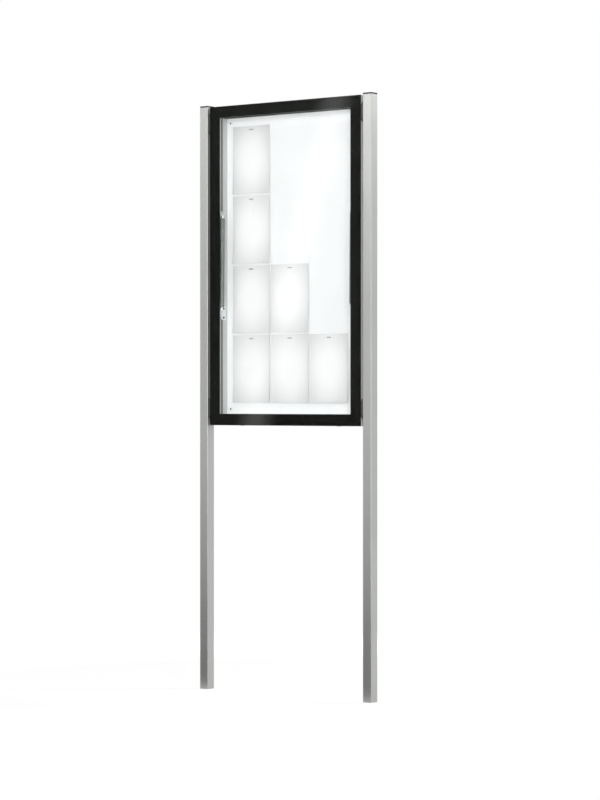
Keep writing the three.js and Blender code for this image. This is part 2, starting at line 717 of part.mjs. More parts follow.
// Locks
function camBottom() {
  return caseBottom + lock.barrelLength + seat;
}

function camTop() {
  return camBottom() + lock.camThickness;
}

function buildLocks(board, door) {
  for (const [name, side] of [['left', -1], ['right', 1]]) {
    const x = side * lockX;
    addPiece(board, `${name}_lock_barrel`, lockBarrelForm(), 'chrome').position.set(x, lockDepth, 0);
    addPiece(board, `${name}_lock_plug`, lockPlugForm(), 'stainless').position.set(x, lockDepth, 0);
    addPiece(door, `${name}_lock_keeper`, keeperForm(), 'zinc').position.x = x - side * keeper.offset;
  }
}

function lockBarrelForm() {
  const flangeTop = caseBottom - seat;
  const low = flangeTop - lock.flange;
  const top = caseBottom + lock.barrelLength;
  const outside = join(
    rodAlongZ(lock.flangeRadius, low, flangeTop, sides.barrel),
    rodAlongZ(lock.barrelRadius, low, top, sides.barrel),
  );
  return cut(outside, [rodAlongZ(lock.plugRadius + running, 0, doorTop, sides.plug)]);
}

// Plug with its key slot below and its cam above, the cam pointing at the door when unlocked
function lockPlugForm() {
  const low = caseBottom - seat - lock.flange;
  const plug = rodAlongZ(lock.plugRadius, low, camTop(), sides.plug);
  const cam = roundedRectangle(lock.camWidth, lock.camLength + lock.camWidth / 2, lock.camCorner);
  const camForm = extruded(cam, lock.camThickness, steps.corner);
  camForm.translate(0, lock.camWidth / 4 - lock.camLength / 2, camBottom());
  return cut(join(plug, camForm), [block(lock.keyWidth, lock.keyLength, 2 * lock.keyDepth, 0, 0, low)]);
}

// Keeper: a plate on the door's back, a tongue over the cam and a lip behind it
function keeperForm() {
  const { width, tongue, plate: thick, lip } = keeper;
  const tongueTop = camTop() + lock.camGap + tongue;
  const front = doorRear + seat;
  const lipFront = lockDepth + lock.camWidth / 2 + keeper.behindCam;
  const lipLow = camBottom() + keeper.lipAboveCam;
  const depth = lipFront + lip - front;
  const plateMiddle = tongueTop - keeper.plateBelowTongue;
  return join(
    block(keeper.plateWidth, thick, keeper.plateHeight, 0, front + thick / 2, plateMiddle),
    block(width, depth, tongue, 0, front + depth / 2, tongueTop - tongue / 2),
    block(width, lip, tongueTop - lipLow, 0, lipFront + lip / 2, (tongueTop + lipLow) / 2),
  );
}

// Sheets in a stair layout, each under a bar magnet. The first column fills the board's height evenly.
function buildSheets(board) {
  const { width, height, thickness, leastRowGap } = sheet;
  const columnHeight = doorHeight - sheet.fromBottom - sheet.fromTop;
  const fullColumn = Math.floor((columnHeight + leastRowGap) / (height + leastRowGap));
  const rowPitch = (columnHeight - height) / Math.max(fullColumn - 1, 1);
  const firstX = -doorWidth / 2 + sheet.fromLeft + width / 2;
  const front = panelFront - seat - thickness;
  const outline = roundedRectangle(magnet.width, magnet.height, magnet.corner);
  let number = 0;
  [fullColumn, ...laterColumns].forEach((rows, column) => {
    for (let row = rows - 1; row >= 0; row -= 1) {
      number += 1;
      const x = firstX + column * (width + sheet.columnGap);
      const low = doorBottom + sheet.fromBottom + row * rowPitch;
      const page = block(width, thickness, height, x, front + thickness / 2, low + height / 2);
      addPiece(board, `notice_sheet_${number}`, page, 'paper');
      const bar = plate(outline, front - seat - magnet.thickness, magnet.thickness, steps.smallCorner);
      const mesh = addPiece(board, `sheet_magnet_${number}`, bar, 'magnetGrey');
      mesh.position.set(x, 0, low + height - magnet.down);
    }
  });
}

const noticeBoard = new THREE.Group();
const doorLeaf = new THREE.Group();
noticeBoard.add(doorLeaf);
buildPosts(noticeBoard);
buildSpacers(noticeBoard);
buildCaseRails(noticeBoard);
buildCleats(noticeBoard);
buildPanels(noticeBoard);
buildSeal(noticeBoard);
buildDoorLeaf(doorLeaf);
buildHinge(noticeBoard, doorLeaf);
buildStruts(noticeBoard, doorLeaf);
buildLocks(noticeBoard, doorLeaf);
buildSheets(noticeBoard);

// The origin lies on the ground line, midway between the posts and midway through the depth
noticeBoard.position.y = (postForward - rearCoverBack) / 2;

export default noticeBoard;
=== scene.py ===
import json
import math
import random

import bmesh
import bpy
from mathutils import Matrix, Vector

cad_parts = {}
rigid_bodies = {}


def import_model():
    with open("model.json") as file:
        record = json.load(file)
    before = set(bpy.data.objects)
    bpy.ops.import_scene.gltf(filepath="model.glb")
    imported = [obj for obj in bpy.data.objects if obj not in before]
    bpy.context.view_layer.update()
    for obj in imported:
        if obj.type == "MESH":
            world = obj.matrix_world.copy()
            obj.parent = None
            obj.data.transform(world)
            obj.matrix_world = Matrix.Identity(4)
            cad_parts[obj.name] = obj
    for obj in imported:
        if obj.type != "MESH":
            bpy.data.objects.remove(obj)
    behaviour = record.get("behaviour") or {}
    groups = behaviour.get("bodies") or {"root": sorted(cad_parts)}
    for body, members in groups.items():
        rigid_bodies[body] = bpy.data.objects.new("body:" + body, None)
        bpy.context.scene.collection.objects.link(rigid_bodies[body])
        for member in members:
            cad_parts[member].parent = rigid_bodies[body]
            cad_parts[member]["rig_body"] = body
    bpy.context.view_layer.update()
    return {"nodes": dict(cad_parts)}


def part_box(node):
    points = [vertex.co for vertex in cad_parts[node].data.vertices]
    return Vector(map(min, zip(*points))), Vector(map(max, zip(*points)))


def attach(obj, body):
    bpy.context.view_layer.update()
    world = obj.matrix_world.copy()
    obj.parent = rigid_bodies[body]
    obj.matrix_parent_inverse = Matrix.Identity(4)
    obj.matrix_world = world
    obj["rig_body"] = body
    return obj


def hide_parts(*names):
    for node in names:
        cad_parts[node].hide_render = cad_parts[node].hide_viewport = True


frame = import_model()
cadNodes = frame["nodes"]
print("frame loaded with", len(cadNodes), "nodes")

mm = 0.001
hair = 0.01 * mm  # points nearer than this are the same
facing = 0.9  # a face looks along an axis where its normal has more of it than this
hexagon = 6


# Modelling helpers

def clearSelection():
    if bpy.context.mode != "OBJECT":
        bpy.ops.object.mode_set(mode="OBJECT")
    bpy.ops.object.select_all(action="DESELECT")


def activate(piece):
    clearSelection()
    piece.select_set(True)
    bpy.context.view_layer.objects.active = piece


def startEditing(piece):
    activate(piece)
    bpy.ops.object.mode_set(mode="EDIT")


def bakePlace(piece):
    activate(piece)
    bpy.ops.object.transform_apply(location=True, rotation=True, scale=True)


def selectFaces(piece, test):
    bpy.ops.mesh.select_mode(type="FACE")
    bpy.ops.mesh.select_all(action="DESELECT")
    mesh = bmesh.from_edit_mesh(piece.data)
    for face in mesh.faces:
        face.select_set(bool(test(face.calc_center_median(), face.normal)))
    bmesh.update_edit_mesh(piece.data)


def selectEdges(piece, test):
    bpy.ops.mesh.select_mode(type="EDGE")
    bpy.ops.mesh.select_all(action="DESELECT")
    mesh = bmesh.from_edit_mesh(piece.data)
    for edge in mesh.edges:
        edge.select_set(bool(test(edge.verts[0].co, edge.verts[1].co)))
    bmesh.update_edit_mesh(piece.data)


def applyModifier(piece, kind, **settings):
    activate(piece)
    modifier = piece.modifiers.new(kind.title(), kind)
    for key, value in settings.items():
        setattr(modifier, key, value)
    bpy.ops.object.modifier_apply(modifier=modifier.name)


def bevelEdges(piece, width, segments, degrees):
    applyModifier(piece, "BEVEL", width=width, segments=segments, limit_method="ANGLE",
                  angle_limit=math.radians(degrees))


def smoothByAngle(piece, degrees=35):
    activate(piece)
    bpy.ops.object.shade_smooth_by_angle(angle=math.radians(degrees))


# Smooth rounds whose flat faces stay flat to the light
def smoothRounds(piece, degrees=35):
    smoothByAngle(piece, degrees)
    applyModifier(piece, "WEIGHTED_NORMAL", keep_sharp=True, weight=100)


# A block, left in edit mode
def startBlock(name, size, centre):
    clearSelection()
    bpy.ops.mesh.primitive_cube_add(size=1, location=centre)
    piece = bpy.context.object
    piece.name = name
    piece.scale = size
    bakePlace(piece)
    startEditing(piece)
    return piece


# Rounds the edges of a block that run along one axis
def roundCorners(piece, axis, radius, segments):
    selectEdges(piece, lambda a, b: abs(getattr(a, axis) - getattr(b, axis)) > hair)
    bpy.ops.mesh.bevel(offset=radius, segments=segments)


def insetFaces(thickness, depth=0):
    bpy.ops.mesh.inset(thickness=thickness, depth=depth)


def extrudeUp(distance):
    bpy.ops.mesh.extrude_region_move(TRANSFORM_OT_translate={"value": (0, 0, distance)})


# A round form grown upwards from a disc, one extrusion for each (height, radius)
def growTurned(name, profile, sideCount):
    clearSelection()
    height, radius = profile[0]
    bpy.ops.mesh.primitive_circle_add(vertices=sideCount, radius=radius, fill_type="NGON")
    piece = bpy.context.object
    piece.name = name
    piece.location = (0, 0, height)
    bakePlace(piece)
    startEditing(piece)
    bpy.ops.mesh.select_all(action="SELECT")
    for nextHeight, nextRadius in profile[1:]:
        extrudeUp(nextHeight - height)
        if nextRadius != radius:
            ratio = nextRadius / radius
            bpy.ops.transform.resize(value=(ratio, ratio, 1), center_override=(0, 0, nextHeight))
        height, radius = nextHeight, nextRadius
    bpy.ops.mesh.select_all(action="SELECT")
    bpy.ops.mesh.normals_make_consistent(inside=False)
    clearSelection()
    return piece


# Turns a piece made at the origin and puts it in its place
def place(piece, location, rotation):
    piece.rotation_euler = rotation
    piece.location = location
    bakePlace(piece)
    return piece


def joinPieces(name, pieces):
    clearSelection()
    for piece in pieces:
        piece.select_set(True)
    bpy.context.view_layer.objects.active = pieces[0]
    bpy.ops.object.join()
    pieces[0].name = name
    return pieces[0]


def addObject(name, data):
    added = bpy.data.objects.new(name, data)
    bpy.context.scene.collection.objects.link(added)
    return added


# A copy of a CAD node's loose triangles, merged and left in edit mode
def mergedCopy(nodeName, pieceName):
    piece = addObject(pieceName, cadNodes[nodeName].data.copy())
    startEditing(piece)
    bpy.ops.mesh.select_all(action="SELECT")
    bpy.ops.mesh.remove_doubles(threshold=hair)
    return piece


# Dresses a CAD node in a copy whose edges are softened, so that they catch the light
def softenNode(nodeName, ending, edge):
    piece = mergedCopy(nodeName, nodeName + ending)
    bpy.ops.mesh.dissolve_limited(angle_limit=math.radians(1))
    clearSelection()
    if edge:
        bevelEdges(piece, edge, segments=2, degrees=38)
    smoothRounds(piece, degrees=40)
    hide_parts(nodeName)
    carry(piece, nodeName)


def paint(piece, material):
    piece.data.materials.clear()
    piece.data.materials.append(material)


# A piece rides its node's body, in the node's finish unless it has its own
def carry(piece, nodeName, slotName=None, material=None):
    if not material:
        material = finishes[slotName] if slotName else finishOf(nodeName)
    slotName = slotName or slotOf(nodeName)
    paint(piece, material)
    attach(piece, cadNodes[nodeName]["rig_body"])


# Material helpers

def toLinear(hexColour):
    channels = [int(hexColour[i:i + 2], 16) / 255 for i in (1, 3, 5)]
    linear = [c / 12.92 if c <= 0.04045 else ((c + 0.055) / 1.055) ** 2.4 for c in channels]
    return (*linear, 1)


# Adds one node with its settings, fixed inputs and links
def addNode(tree, kind, settings=None, values=None, links=None):
    node = tree.nodes.new(kind)
    for key, value in (settings or {}).items():
        setattr(node, key, value)
    for key, value in (values or {}).items():
        node.inputs[key].default_value = value
    for key, source in (links or {}).items():
        tree.links.new(source, node.inputs[key])
    return node


def startMaterial(name):
    material = bpy.data.materials.new(name)
    material.use_nodes = True
    tree = material.node_tree
    tree.nodes.clear()
    position = addNode(tree, "ShaderNodeTexCoord").outputs["Object"]
    return material, tree, position


def endMaterial(tree, shader):
    addNode(tree, "ShaderNodeOutputMaterial", links={"Surface": shader})


# Extruded and natural anodised: a soft satin grey with faint die lines along the profile
def anodisedAluminium(name, along, look):
    material, tree, position = startMaterial(name)
    stretch = [look["linePitch"]] * 3
    stretch["xyz".index(along)] = look["lineLength"]
    lines = addNode(tree, "ShaderNodeMapping", values={"Scale": [1 / s for s in stretch]},
                    links={"Vector": position})
    grain = addNode(tree, "ShaderNodeTexNoise", values={"Scale": 1, "Detail": 3, "Roughness": 0.6},
                    links={"Vector": lines.outputs[0]})
    cloud = addNode(tree, "ShaderNodeTexNoise", values={"Scale": 1 / look["cloudSize"], "Detail": 2},
                    links={"Vector": position})
    colour = addNode(tree, "ShaderNodeMix", {"data_type": "RGBA"},
                     {"A": toLinear(look["dark"]), "B": toLinear(look["light"])},
                     {"Factor": cloud.outputs[0]})
    rough = addNode(tree, "ShaderNodeMapRange",
                    values={"To Min": look["smoothest"], "To Max": look["roughest"]},
                    links={"Value": grain.outputs[0]})
    bump = addNode(tree, "ShaderNodeBump", values={"Strength": 0.25, "Distance": look["lineDepth"]},
                   links={"Height": grain.outputs[0]})
    shader = addNode(tree, "ShaderNodeBsdfPrincipled", values={"Metallic": look["metallic"]},
                     links={"Base Color": colour.outputs[2], "Roughness": rough.outputs[0],
                            "Normal": bump.outputs[0]})
    endMaterial(tree, shader.outputs[0])
    return material


aluminiumLook = {
    # The oxide layer is slightly milky, so the metal keeps a little diffuse light
    "metallic": 0.82, "dark": "#B2B4B1", "light": "#BEC0BD", "smoothest": 0.32, "roughest": 0.44,
    # Die lines lie about 0.3 mm apart, drawn at 3 mm so that they show
    "linePitch": 3 * mm, "lineLength": 900 * mm, "lineDepth": 0.05 * mm, "cloudSize": 220 * mm,
}


# The mask of a painted light rim: 0 inside an upright rectangle about the Z axis, rising to 1 at its rim
def paintedLightRimMask(tree, position, look):
    parts = addNode(tree, "ShaderNodeSeparateXYZ", links={0: position})
    factors = []
    for axis, middle, half in (("X", 0, look["rimHalfWidth"]),
                               ("Z", look["rimMiddle"], look["rimHalfHeight"])):
        offset = addNode(tree, "ShaderNodeMath", {"operation": "SUBTRACT"}, {1: middle},
                         {0: parts.outputs[axis]})
        away = addNode(tree, "ShaderNodeMath", {"operation": "ABSOLUTE"}, links={0: offset.outputs[0]})
        factors.append(addNode(tree, "ShaderNodeMapRange", {"interpolation_type": "SMOOTHSTEP"},
                               {"From Min": half - look["rimWidth"], "From Max": half},
                               {"Value": away.outputs[0]}).outputs[0])
    return addNode(tree, "ShaderNodeMath", {"operation": "MAXIMUM"},
                   links={0: factors[0], 1: factors[1]}).outputs[0]


# One build for most finishes: a colour, a roughness and a fine surface relief, and a lighter rim of
# painted light if asked
def coatedSurface(name, look):
    material, tree, position = startMaterial(name)
    grain = addNode(tree, "ShaderNodeTexNoise",
                    values={"Scale": 1 / look["grain"], "Detail": 4, "Roughness": 0.55},
                    links={"Vector": position})
    cloud = addNode(tree, "ShaderNodeTexNoise", values={"Scale": 1 / look["cloud"], "Detail": 3},
                    links={"Vector": position})
    colour = addNode(tree, "ShaderNodeMix", {"data_type": "RGBA"},
                     {"A": toLinear(look["dark"]), "B": toLinear(look["light"])},
                     {"Factor": cloud.outputs[0]})
    rough = addNode(tree, "ShaderNodeMapRange",
                    values={"To Min": look["smoothest"], "To Max": look["roughest"]},
                    links={"Value": cloud.outputs[0]})
    bump = addNode(tree, "ShaderNodeBump",
                   values={"Strength": look["relief"], "Distance": look["depth"]},
                   links={"Height": grain.outputs[0]})
    # The lighter rim is painted light: it cancels the shade near the walls
    if "rim" in look:
        colour = addNode(tree, "ShaderNodeMix", {"data_type": "RGBA"}, {"B": toLinear(look["rim"])},
                         {"Factor": paintedLightRimMask(tree, position, look), "A": colour.outputs[2]})
    values = {"Metallic": look.get("metallic", 0), "Specular IOR Level": look.get("specular", 0.5)}
    if not look.get("metallic"):
        values["IOR"] = 1.5
    if look.get("coat"):
        values["Coat Weight"] = look["coat"]
        values["Coat Roughness"] = look["coatRoughness"]
    shader = addNode(tree, "ShaderNodeBsdfPrincipled", values=values,
                     links={"Base Color": colour.outputs[2], "Roughness": rough.outputs[0],
                            "Normal": bump.outputs[0]})
    endMaterial(tree, shader.outputs[0])
    return material


# Float glass: clear, with a faint film that dulls its mirror here and there, and lamps shine through it
def floatGlass(name, look):
    material, tree, position = startMaterial(name)
    haze = addNode(tree, "ShaderNodeTexNoise", values={"Scale": 1 / look["smear"], "Detail": 3},
                   links={"Vector": position})
    rough = addNode(tree, "ShaderNodeMapRange", values={"To Min": 0.0, "To Max": look["roughest"]},
                    links={"Value": haze.outputs[0]})
    glass = addNode(tree, "ShaderNodeBsdfPrincipled",
                    values={"Base Color": toLinear(look["tint"]), "Transmission Weight": 1,
                            "IOR": look["ior"], "Specular IOR Level": look["specular"]},
                    links={"Roughness": rough.outputs[0]})
    clear = addNode(tree, "ShaderNodeBsdfTransparent")
    path = addNode(tree, "ShaderNodeLightPath")
    mix = addNode(tree, "ShaderNodeMixShader", links={
        0: path.outputs["Is Shadow Ray"], 1: glass.outputs[0], 2: clear.outputs[0]})
    endMaterial(tree, mix.outputs[0])
    return material


# Uncoated office paper: matt white, faintly greyer towards its edges, with a fibre tooth
def officePaper(name, look):
    material, tree, position = startMaterial(name)
    page = tree.nodes.new("ShaderNodeUVMap")
    page.uv_map = "UVMap"
    centred = addNode(tree, "ShaderNodeMapping", {"vector_type": "POINT"},
                      {"Location": (-1, -1, 0), "Scale": (2, 2, 1)}, {"Vector": page.outputs[0]})
    distance = addNode(tree, "ShaderNodeVectorMath", {"operation": "LENGTH"},
                       links={0: centred.outputs[0]})
    greyer = addNode(tree, "ShaderNodeMapRange", {"interpolation_type": "SMOOTHSTEP"},
                    {"From Min": look["whiteTo"], "From Max": look["tonedFrom"]},
                    {"Value": distance.outputs["Value"]})
    fibre = addNode(tree, "ShaderNodeTexNoise",
                    values={"Scale": 1 / look["fibre"], "Detail": 5, "Roughness": 0.7},
                    links={"Vector": position})
    colour = addNode(tree, "ShaderNodeMix", {"data_type": "RGBA"},
                     {"A": toLinear(look["middle"]), "B": toLinear(look["edge"])},
                     {"Factor": greyer.outputs[0]})
    bump = addNode(tree, "ShaderNodeBump", values={"Strength": 0.15, "Distance": look["tooth"]},
                   links={"Height": fibre.outputs[0]})
    shader = addNode(tree, "ShaderNodeBsdfPrincipled",
                     values={"Roughness": 0.75, "IOR": 1.5, "Specular IOR Level": 0.3},
                     links={"Base Color": colour.outputs[2], "Normal": bump.outputs[0]})
    endMaterial(tree, shader.outputs[0])
    return material


nylonLook = {"grain": 1.2 * mm, "cloud": 30 * mm, "relief": 0.3, "depth": 0.08 * mm}
rubberLook = {"grain": 2 * mm, "cloud": 60 * mm, "relief": 0.2, "depth": 0.08 * mm}
screwLook = {"metallic": 1, "grain": 1 * mm, "cloud": 6 * mm, "relief": 0.12, "depth": 0.03 * mm}
finishes = {
    "anodised_aluminium": anodisedAluminium("anodisedAluminiumUpright", "z", aluminiumLook),
    # Injection-moulded nylon: near black, matt, with the fine grain of a spark-eroded tool
    "black_plastic": coatedSurface("mouldedBlackNylon", {
        "dark": "#1E201F", "light": "#282A28", "smoothest": 0.48, "roughest": 0.6,
        **nylonLook, "specular": 0.3}),
    # The spacers' nylon is a dark grey with more sheen
    "grey_plastic": coatedSurface("mouldedGreyNylon", {
        "dark": "#454745", "light": "#525452", "smoothest": 0.4, "roughest": 0.5,
        **nylonLook, "specular": 0.4}),
    # Extruded EPDM: black, dull and slightly dusty
    "rubber": coatedSurface("extrudedRubberSeal", {
        "dark": "#131413", "light": "#1D1E1C", "smoothest": 0.65, "roughest": 0.8,
        **rubberLook, "specular": 0.2}),
    # Stove-enamelled steel: a bright white with the faint waviness of a sprayed coat. Its rim near the
    # case's
    # walls is painted lighter: painted light that cancels the shade in the case's corners
    "white_enamel": coatedSurface("whiteEnamelledSteel", {
        "rim": "#FAFBFB", "rimHalfWidth": 366 * mm, "rimHalfHeight": 648 * mm, "rimMiddle": 1865 * mm,
        "rimWidth": 70 * mm,
        "dark": "#E3E4E4", "light": "#EAEBEB", "smoothest": 0.16, "roughest": 0.3,
        "grain": 6 * mm, "cloud": 180 * mm, "relief": 0.05, "depth": 0.05 * mm}),
    # Moulded edge seal on the case's nose: a mid grey that the light picks out of the gap
    "grey_rubber": coatedSurface("mouldedGreyEdgeSeal", {
        "dark": "#6A6C6B", "light": "#767877", "smoothest": 0.5, "roughest": 0.65,
        **rubberLook, "specular": 0.35}),
    # Enamel fired on the back of the glass: deep black under the pane
    "black_enamel": coatedSurface("firedBlackEnamel", {
        "dark": "#131412", "light": "#1A1B18", "smoothest": 0.2, "roughest": 0.3,
        "grain": 1.5 * mm, "cloud": 90 * mm, "relief": 0.08, "depth": 0.03 * mm, "specular": 0.06}),
    "glass": floatGlass("clearFloatGlass", {
        "tint": "#FEFFFF", "ior": 1.5, "specular": 0.22, "smear": 140 * mm, "roughest": 0.03}),
    # Cold-rolled stainless: greyer than the aluminium, with short rolling streaks
    "stainless_steel": coatedSurface("rolledStainlessSteel", {
        "dark": "#9EA0A1", "light": "#B6B8B9", "smoothest": 0.22, "roughest": 0.38, "metallic": 1,
        "grain": 1.5 * mm, "cloud": 25 * mm, "relief": 0.12, "depth": 0.03 * mm}),
    # Sprayed enamel on drawn tube: mid grey and half glossy
    "grey_paint": coatedSurface("sprayedGreyEnamel", {
        "dark": "#5F6362", "light": "#6C706F", "smoothest": 0.24, "roughest": 0.34,
        "grain": 2.5 * mm, "cloud": 40 * mm, "relief": 0.08, "depth": 0.05 * mm,
        "coat": 0.4, "coatRoughness": 0.15}),
    # Hard chrome on the ground rod: bright and almost a mirror
    "chrome": coatedSurface("hardChromePlate", {
        "dark": "#D2D4D6", "light": "#DEE0E2", "smoothest": 0.06, "roughest": 0.12, "metallic": 1,
        "grain": 3 * mm, "cloud": 20 * mm, "relief": 0.02, "depth": 0.02 * mm}),
    # Blue-passivated zinc: light, cool and slightly clouded
    "zinc_plated_steel": coatedSurface("bluePassivatedZinc", {
        "dark": "#DCE0E2", "light": "#ECEEEE", "smoothest": 0.3, "roughest": 0.45, "metallic": 1,
        "grain": 1.2 * mm, "cloud": 8 * mm, "relief": 0.12, "depth": 0.03 * mm}),
    "paper": officePaper("uncoatedOfficePaper", {
        "middle": "#E9E9E9", "edge": "#C9C9C9", "whiteTo": 0.3, "tonedFrom": 1.55,
        "fibre": 1.5 * mm, "tooth": 0.05 * mm}),
    # Bar magnets in a moulded grey sleeve
    "magnet_grey": coatedSurface("mouldedGreySleeve", {
        "dark": "#8F9291", "light": "#9D9F9E", "smoothest": 0.35, "roughest": 0.48,
        "grain": 1 * mm, "cloud": 12 * mm, "relief": 0.15, "depth": 0.04 * mm}),
    # Blackened stainless screws: dark dots on the white panel
    "dark_stainless": coatedSurface("darkenedStainlessSteel", {
        "dark": "#565858", "light": "#666868", "smoothest": 0.25, "roughest": 0.4, **screwLook}),
    # Steel screws at the ends of each strut bracket, painted near black as painted shade: their dots
    # stand in for the shadows above and below each bracket
    "black_oxide": coatedSurface("blackOxideSteel", {
        "dark": "#1E1F1F", "light": "#2A2B2B", "smoothest": 0.4, "roughest": 0.55, **screwLook}),
}
caseLook = {**aluminiumLook, "metallic": 0.8, "dark": "#BFC0BF", "light": "#C9CAC9"}
# The door's edge trim: aluminium whitened and made almost non-metallic, painted light so the strip
# between door and post reads lit
paintedLightTrimLook = {**aluminiumLook, "metallic": 0.05, "dark": "#F3F4F3", "light": "#F8F9F8", "smoothest": 0.4}
railFinishes = {
    "left": anodisedAluminium("anodisedAluminiumRailUpright", "z", caseLook),
    "top": anodisedAluminium("anodisedAluminiumRailLevel", "x", caseLook),
}
railFinishes.update(right=railFinishes["left"], bottom=railFinishes["top"])
paintedLightTrimFinish = anodisedAluminium("anodisedAluminiumEdgeTrim", "z", paintedLightTrimLook)
print("materials made")

slotWords = [
    ("post_cap", "black_plastic"), ("spacer", "black_plastic"), ("post", "anodised_aluminium"),
    ("glass_border", "black_enamel"), ("door_glass", "glass"), ("door_seal", "rubber"),
    ("cleat", "zinc_plated_steel"), ("back_panel", "white_enamel"),
    ("rear_cover", "anodised_aluminium"), ("panel_screw", "stainless_steel"),
    ("hinge", "stainless_steel"), ("strut_rod", "chrome"),
    ("strut_cylinder", "grey_paint"), ("bracket", "zinc_plated_steel"), ("keeper", "zinc_plated_steel"),
    ("lock_barrel", "chrome"), ("lock_plug", "stainless_steel"), ("notice_sheet", "paper"),
    ("sheet_magnet", "magnet_grey"), ("rail", "anodised_aluminium"),
]


def slotOf(nodeName):
    return next(slotName for word, slotName in slotWords if word in nodeName)


def finishOf(nodeName):
    if nodeName.endswith("_rail"):
        return railFinishes[nodeName.split("_")[1]]
    return finishes[slotOf(nodeName)]


# Posts: extruded square tube with rounded corners
postSizes = {"wall": 2.5 * mm, "corner": 3 * mm, "cornerSegments": 6, "endEdge": 0.4 * mm}


def makePost(nodeName):
    low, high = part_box(nodeName)
    piece = startBlock(nodeName + "_tube", high - low, (low + high) / 2)
    roundCorners(piece, "z", postSizes["corner"], postSizes["cornerSegments"])
    selectFaces(piece, lambda centre, normal: abs(normal.z) > facing)
    bpy.ops.mesh.delete(type="FACE")
    applyModifier(piece, "SOLIDIFY", thickness=postSizes["wall"], offset=-1, use_even_offset=True)
    bevelEdges(piece, postSizes["endEdge"], segments=2, degrees=60)
    smoothRounds(piece)
    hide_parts(nodeName)
    carry(piece, nodeName)


# Post caps: moulded, with a softly rounded lid and a hollow skirt inside the tube
capSizes = {"lid": 6 * mm, "corner": 3 * mm, "cornerSegments": 6, "softEdge": 0.9 * mm,
            "softSegments": 5, "skirtInset": 2.8 * mm, "skirtDrop": 20 * mm, "skirtWall": 2.5 * mm,
            # The edges under the lid are broken as far in as the skirt's outside
            "underEdge": 0.4 * mm, "underReach": 3.1 * mm}


def makeCap(nodeName):
    sizes = capSizes
    low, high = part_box(nodeName)
    size = Vector((high.x - low.x, high.y - low.y, sizes["lid"]))
    middle = Vector(((low.x + high.x) / 2, (low.y + high.y) / 2, high.z - sizes["lid"] / 2))
    lidBottom = high.z - sizes["lid"]
    piece = startBlock(nodeName + "_moulding", size, middle)
    roundCorners(piece, "z", sizes["corner"], sizes["cornerSegments"])
    selectFaces(piece, lambda centre, normal: normal.z < -facing)
    insetFaces(sizes["skirtInset"])
    extrudeUp(-sizes["skirtDrop"])
    insetFaces(sizes["skirtWall"])
    extrudeUp(sizes["skirtDrop"])
    selectEdges(piece, lambda a, b: min(a.z, b.z) > high.z - hair)
    bpy.ops.mesh.bevel(offset=sizes["softEdge"], segments=sizes["softSegments"])
    selectEdges(piece, lambda a, b: max(abs(a.z - lidBottom), abs(b.z - lidBottom)) < hair
                and max(abs(a.x - middle.x), abs(a.y - middle.y)) > size.x / 2 - sizes["underReach"])
    bpy.ops.mesh.bevel(offset=sizes["underEdge"], segments=2)
    smoothRounds(piece, degrees=30)
    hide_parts(nodeName)
    carry(piece, nodeName)


# Spacers: an oblong moulded pad with softened rims, and two studs with a nut on each end
spacerSizes = {"pad": 11.7 * mm, "width": 40 * mm, "height": 90 * mm, "endSegments": 18,
               # What each half end keeps flat, so that its two rounds don't meet in one point
               "endFlat": 0.05 * mm,
               "rim": 0.8 * mm, "rimSegments": 3, "rimBand": 0.3 * mm,
               "centreX": 424.5 * mm, "padY": -11.9 * mm, "studY": -1.4 * mm,
               "studRadius": 4 * mm, "studSides": 20, "studPitch": 50 * mm, "tip": 0.8 * mm,
               "nutRadius": 7.4 * mm, "nut": 6.5 * mm, "tail": 4 * mm, "chamfer": 0.7 * mm}


def makeSpacer(nodeName):
    sizes = spacerSizes
    low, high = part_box(nodeName)
    middle = (low + high) / 2
    padX = math.copysign(sizes["centreX"], middle.x)
    size = (sizes["pad"], sizes["width"], sizes["height"])
    pad = startBlock(nodeName + "_pad", size, (padX, sizes["padY"], middle.z))
    roundCorners(pad, "x", sizes["width"] / 2 - sizes["endFlat"], sizes["endSegments"])
    selectFaces(pad, lambda centre, normal: abs(normal.x) > facing)
    insetFaces(sizes["rim"])
    selectEdges(pad, lambda a, b: abs(a.x - b.x) < hair and edgeOnRim(a, b, padX, middle.z))
    bpy.ops.mesh.bevel(offset=sizes["rim"], segments=sizes["rimSegments"])
    smoothRounds(pad, degrees=30)
    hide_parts(nodeName)
    carry(pad, nodeName, material=finishes["grey_plastic"])
    radius, tip, chamfer = sizes["studRadius"], sizes["tip"], sizes["chamfer"]
    thread = [(low.x, radius - tip), (low.x + tip, radius),
              (high.x - tip, radius), (high.x, radius - tip)]
    forms = []
    for offset in (-0.5, 0.5):
        spot = (0, sizes["studY"], middle.z + offset * sizes["studPitch"])
        forms.append(place(growTurned("stud", thread, sizes["studSides"]), spot, (0, math.pi / 2, 0)))
        for start in (low.x + sizes["tail"], high.x - sizes["tail"] - sizes["nut"]):
            end = start + sizes["nut"]
            flats = [(start, sizes["nutRadius"] - chamfer), (start + chamfer / 2, sizes["nutRadius"]),
                     (end - chamfer / 2, sizes["nutRadius"]), (end, sizes["nutRadius"] - chamfer)]
            forms.append(place(growTurned("nut", flats, hexagon), spot, (0, math.pi / 2, 0)))
    joined = joinPieces(nodeName + "_studs", forms)
    smoothByAngle(joined)
    carry(joined, nodeName, "zinc_plated_steel")


# The outer rim of a pad's face, and not the inset inside it
def edgeOnRim(a, b, padX, middleZ):
    sizes = spacerSizes
    if abs(abs(a.x - padX) - sizes["pad"] / 2) > hair:
        return False
    half = sizes["height"] / 2 - sizes["width"] / 2
    for point in (a, b):
        beyond = max(abs(point.z - middleZ) - half, 0)
        if math.hypot(beyond, point.y - sizes["padY"]) < sizes["width"] / 2 - sizes["rimBand"]:
            return False
    return True


for side in ("left", "right"):
    makePost(side + "_post")
    makeCap(side + "_post_cap")
    for level in ("upper", "lower"):
        makeSpacer(f"{level}_{side}_spacer")
print("posts, caps and spacers made")


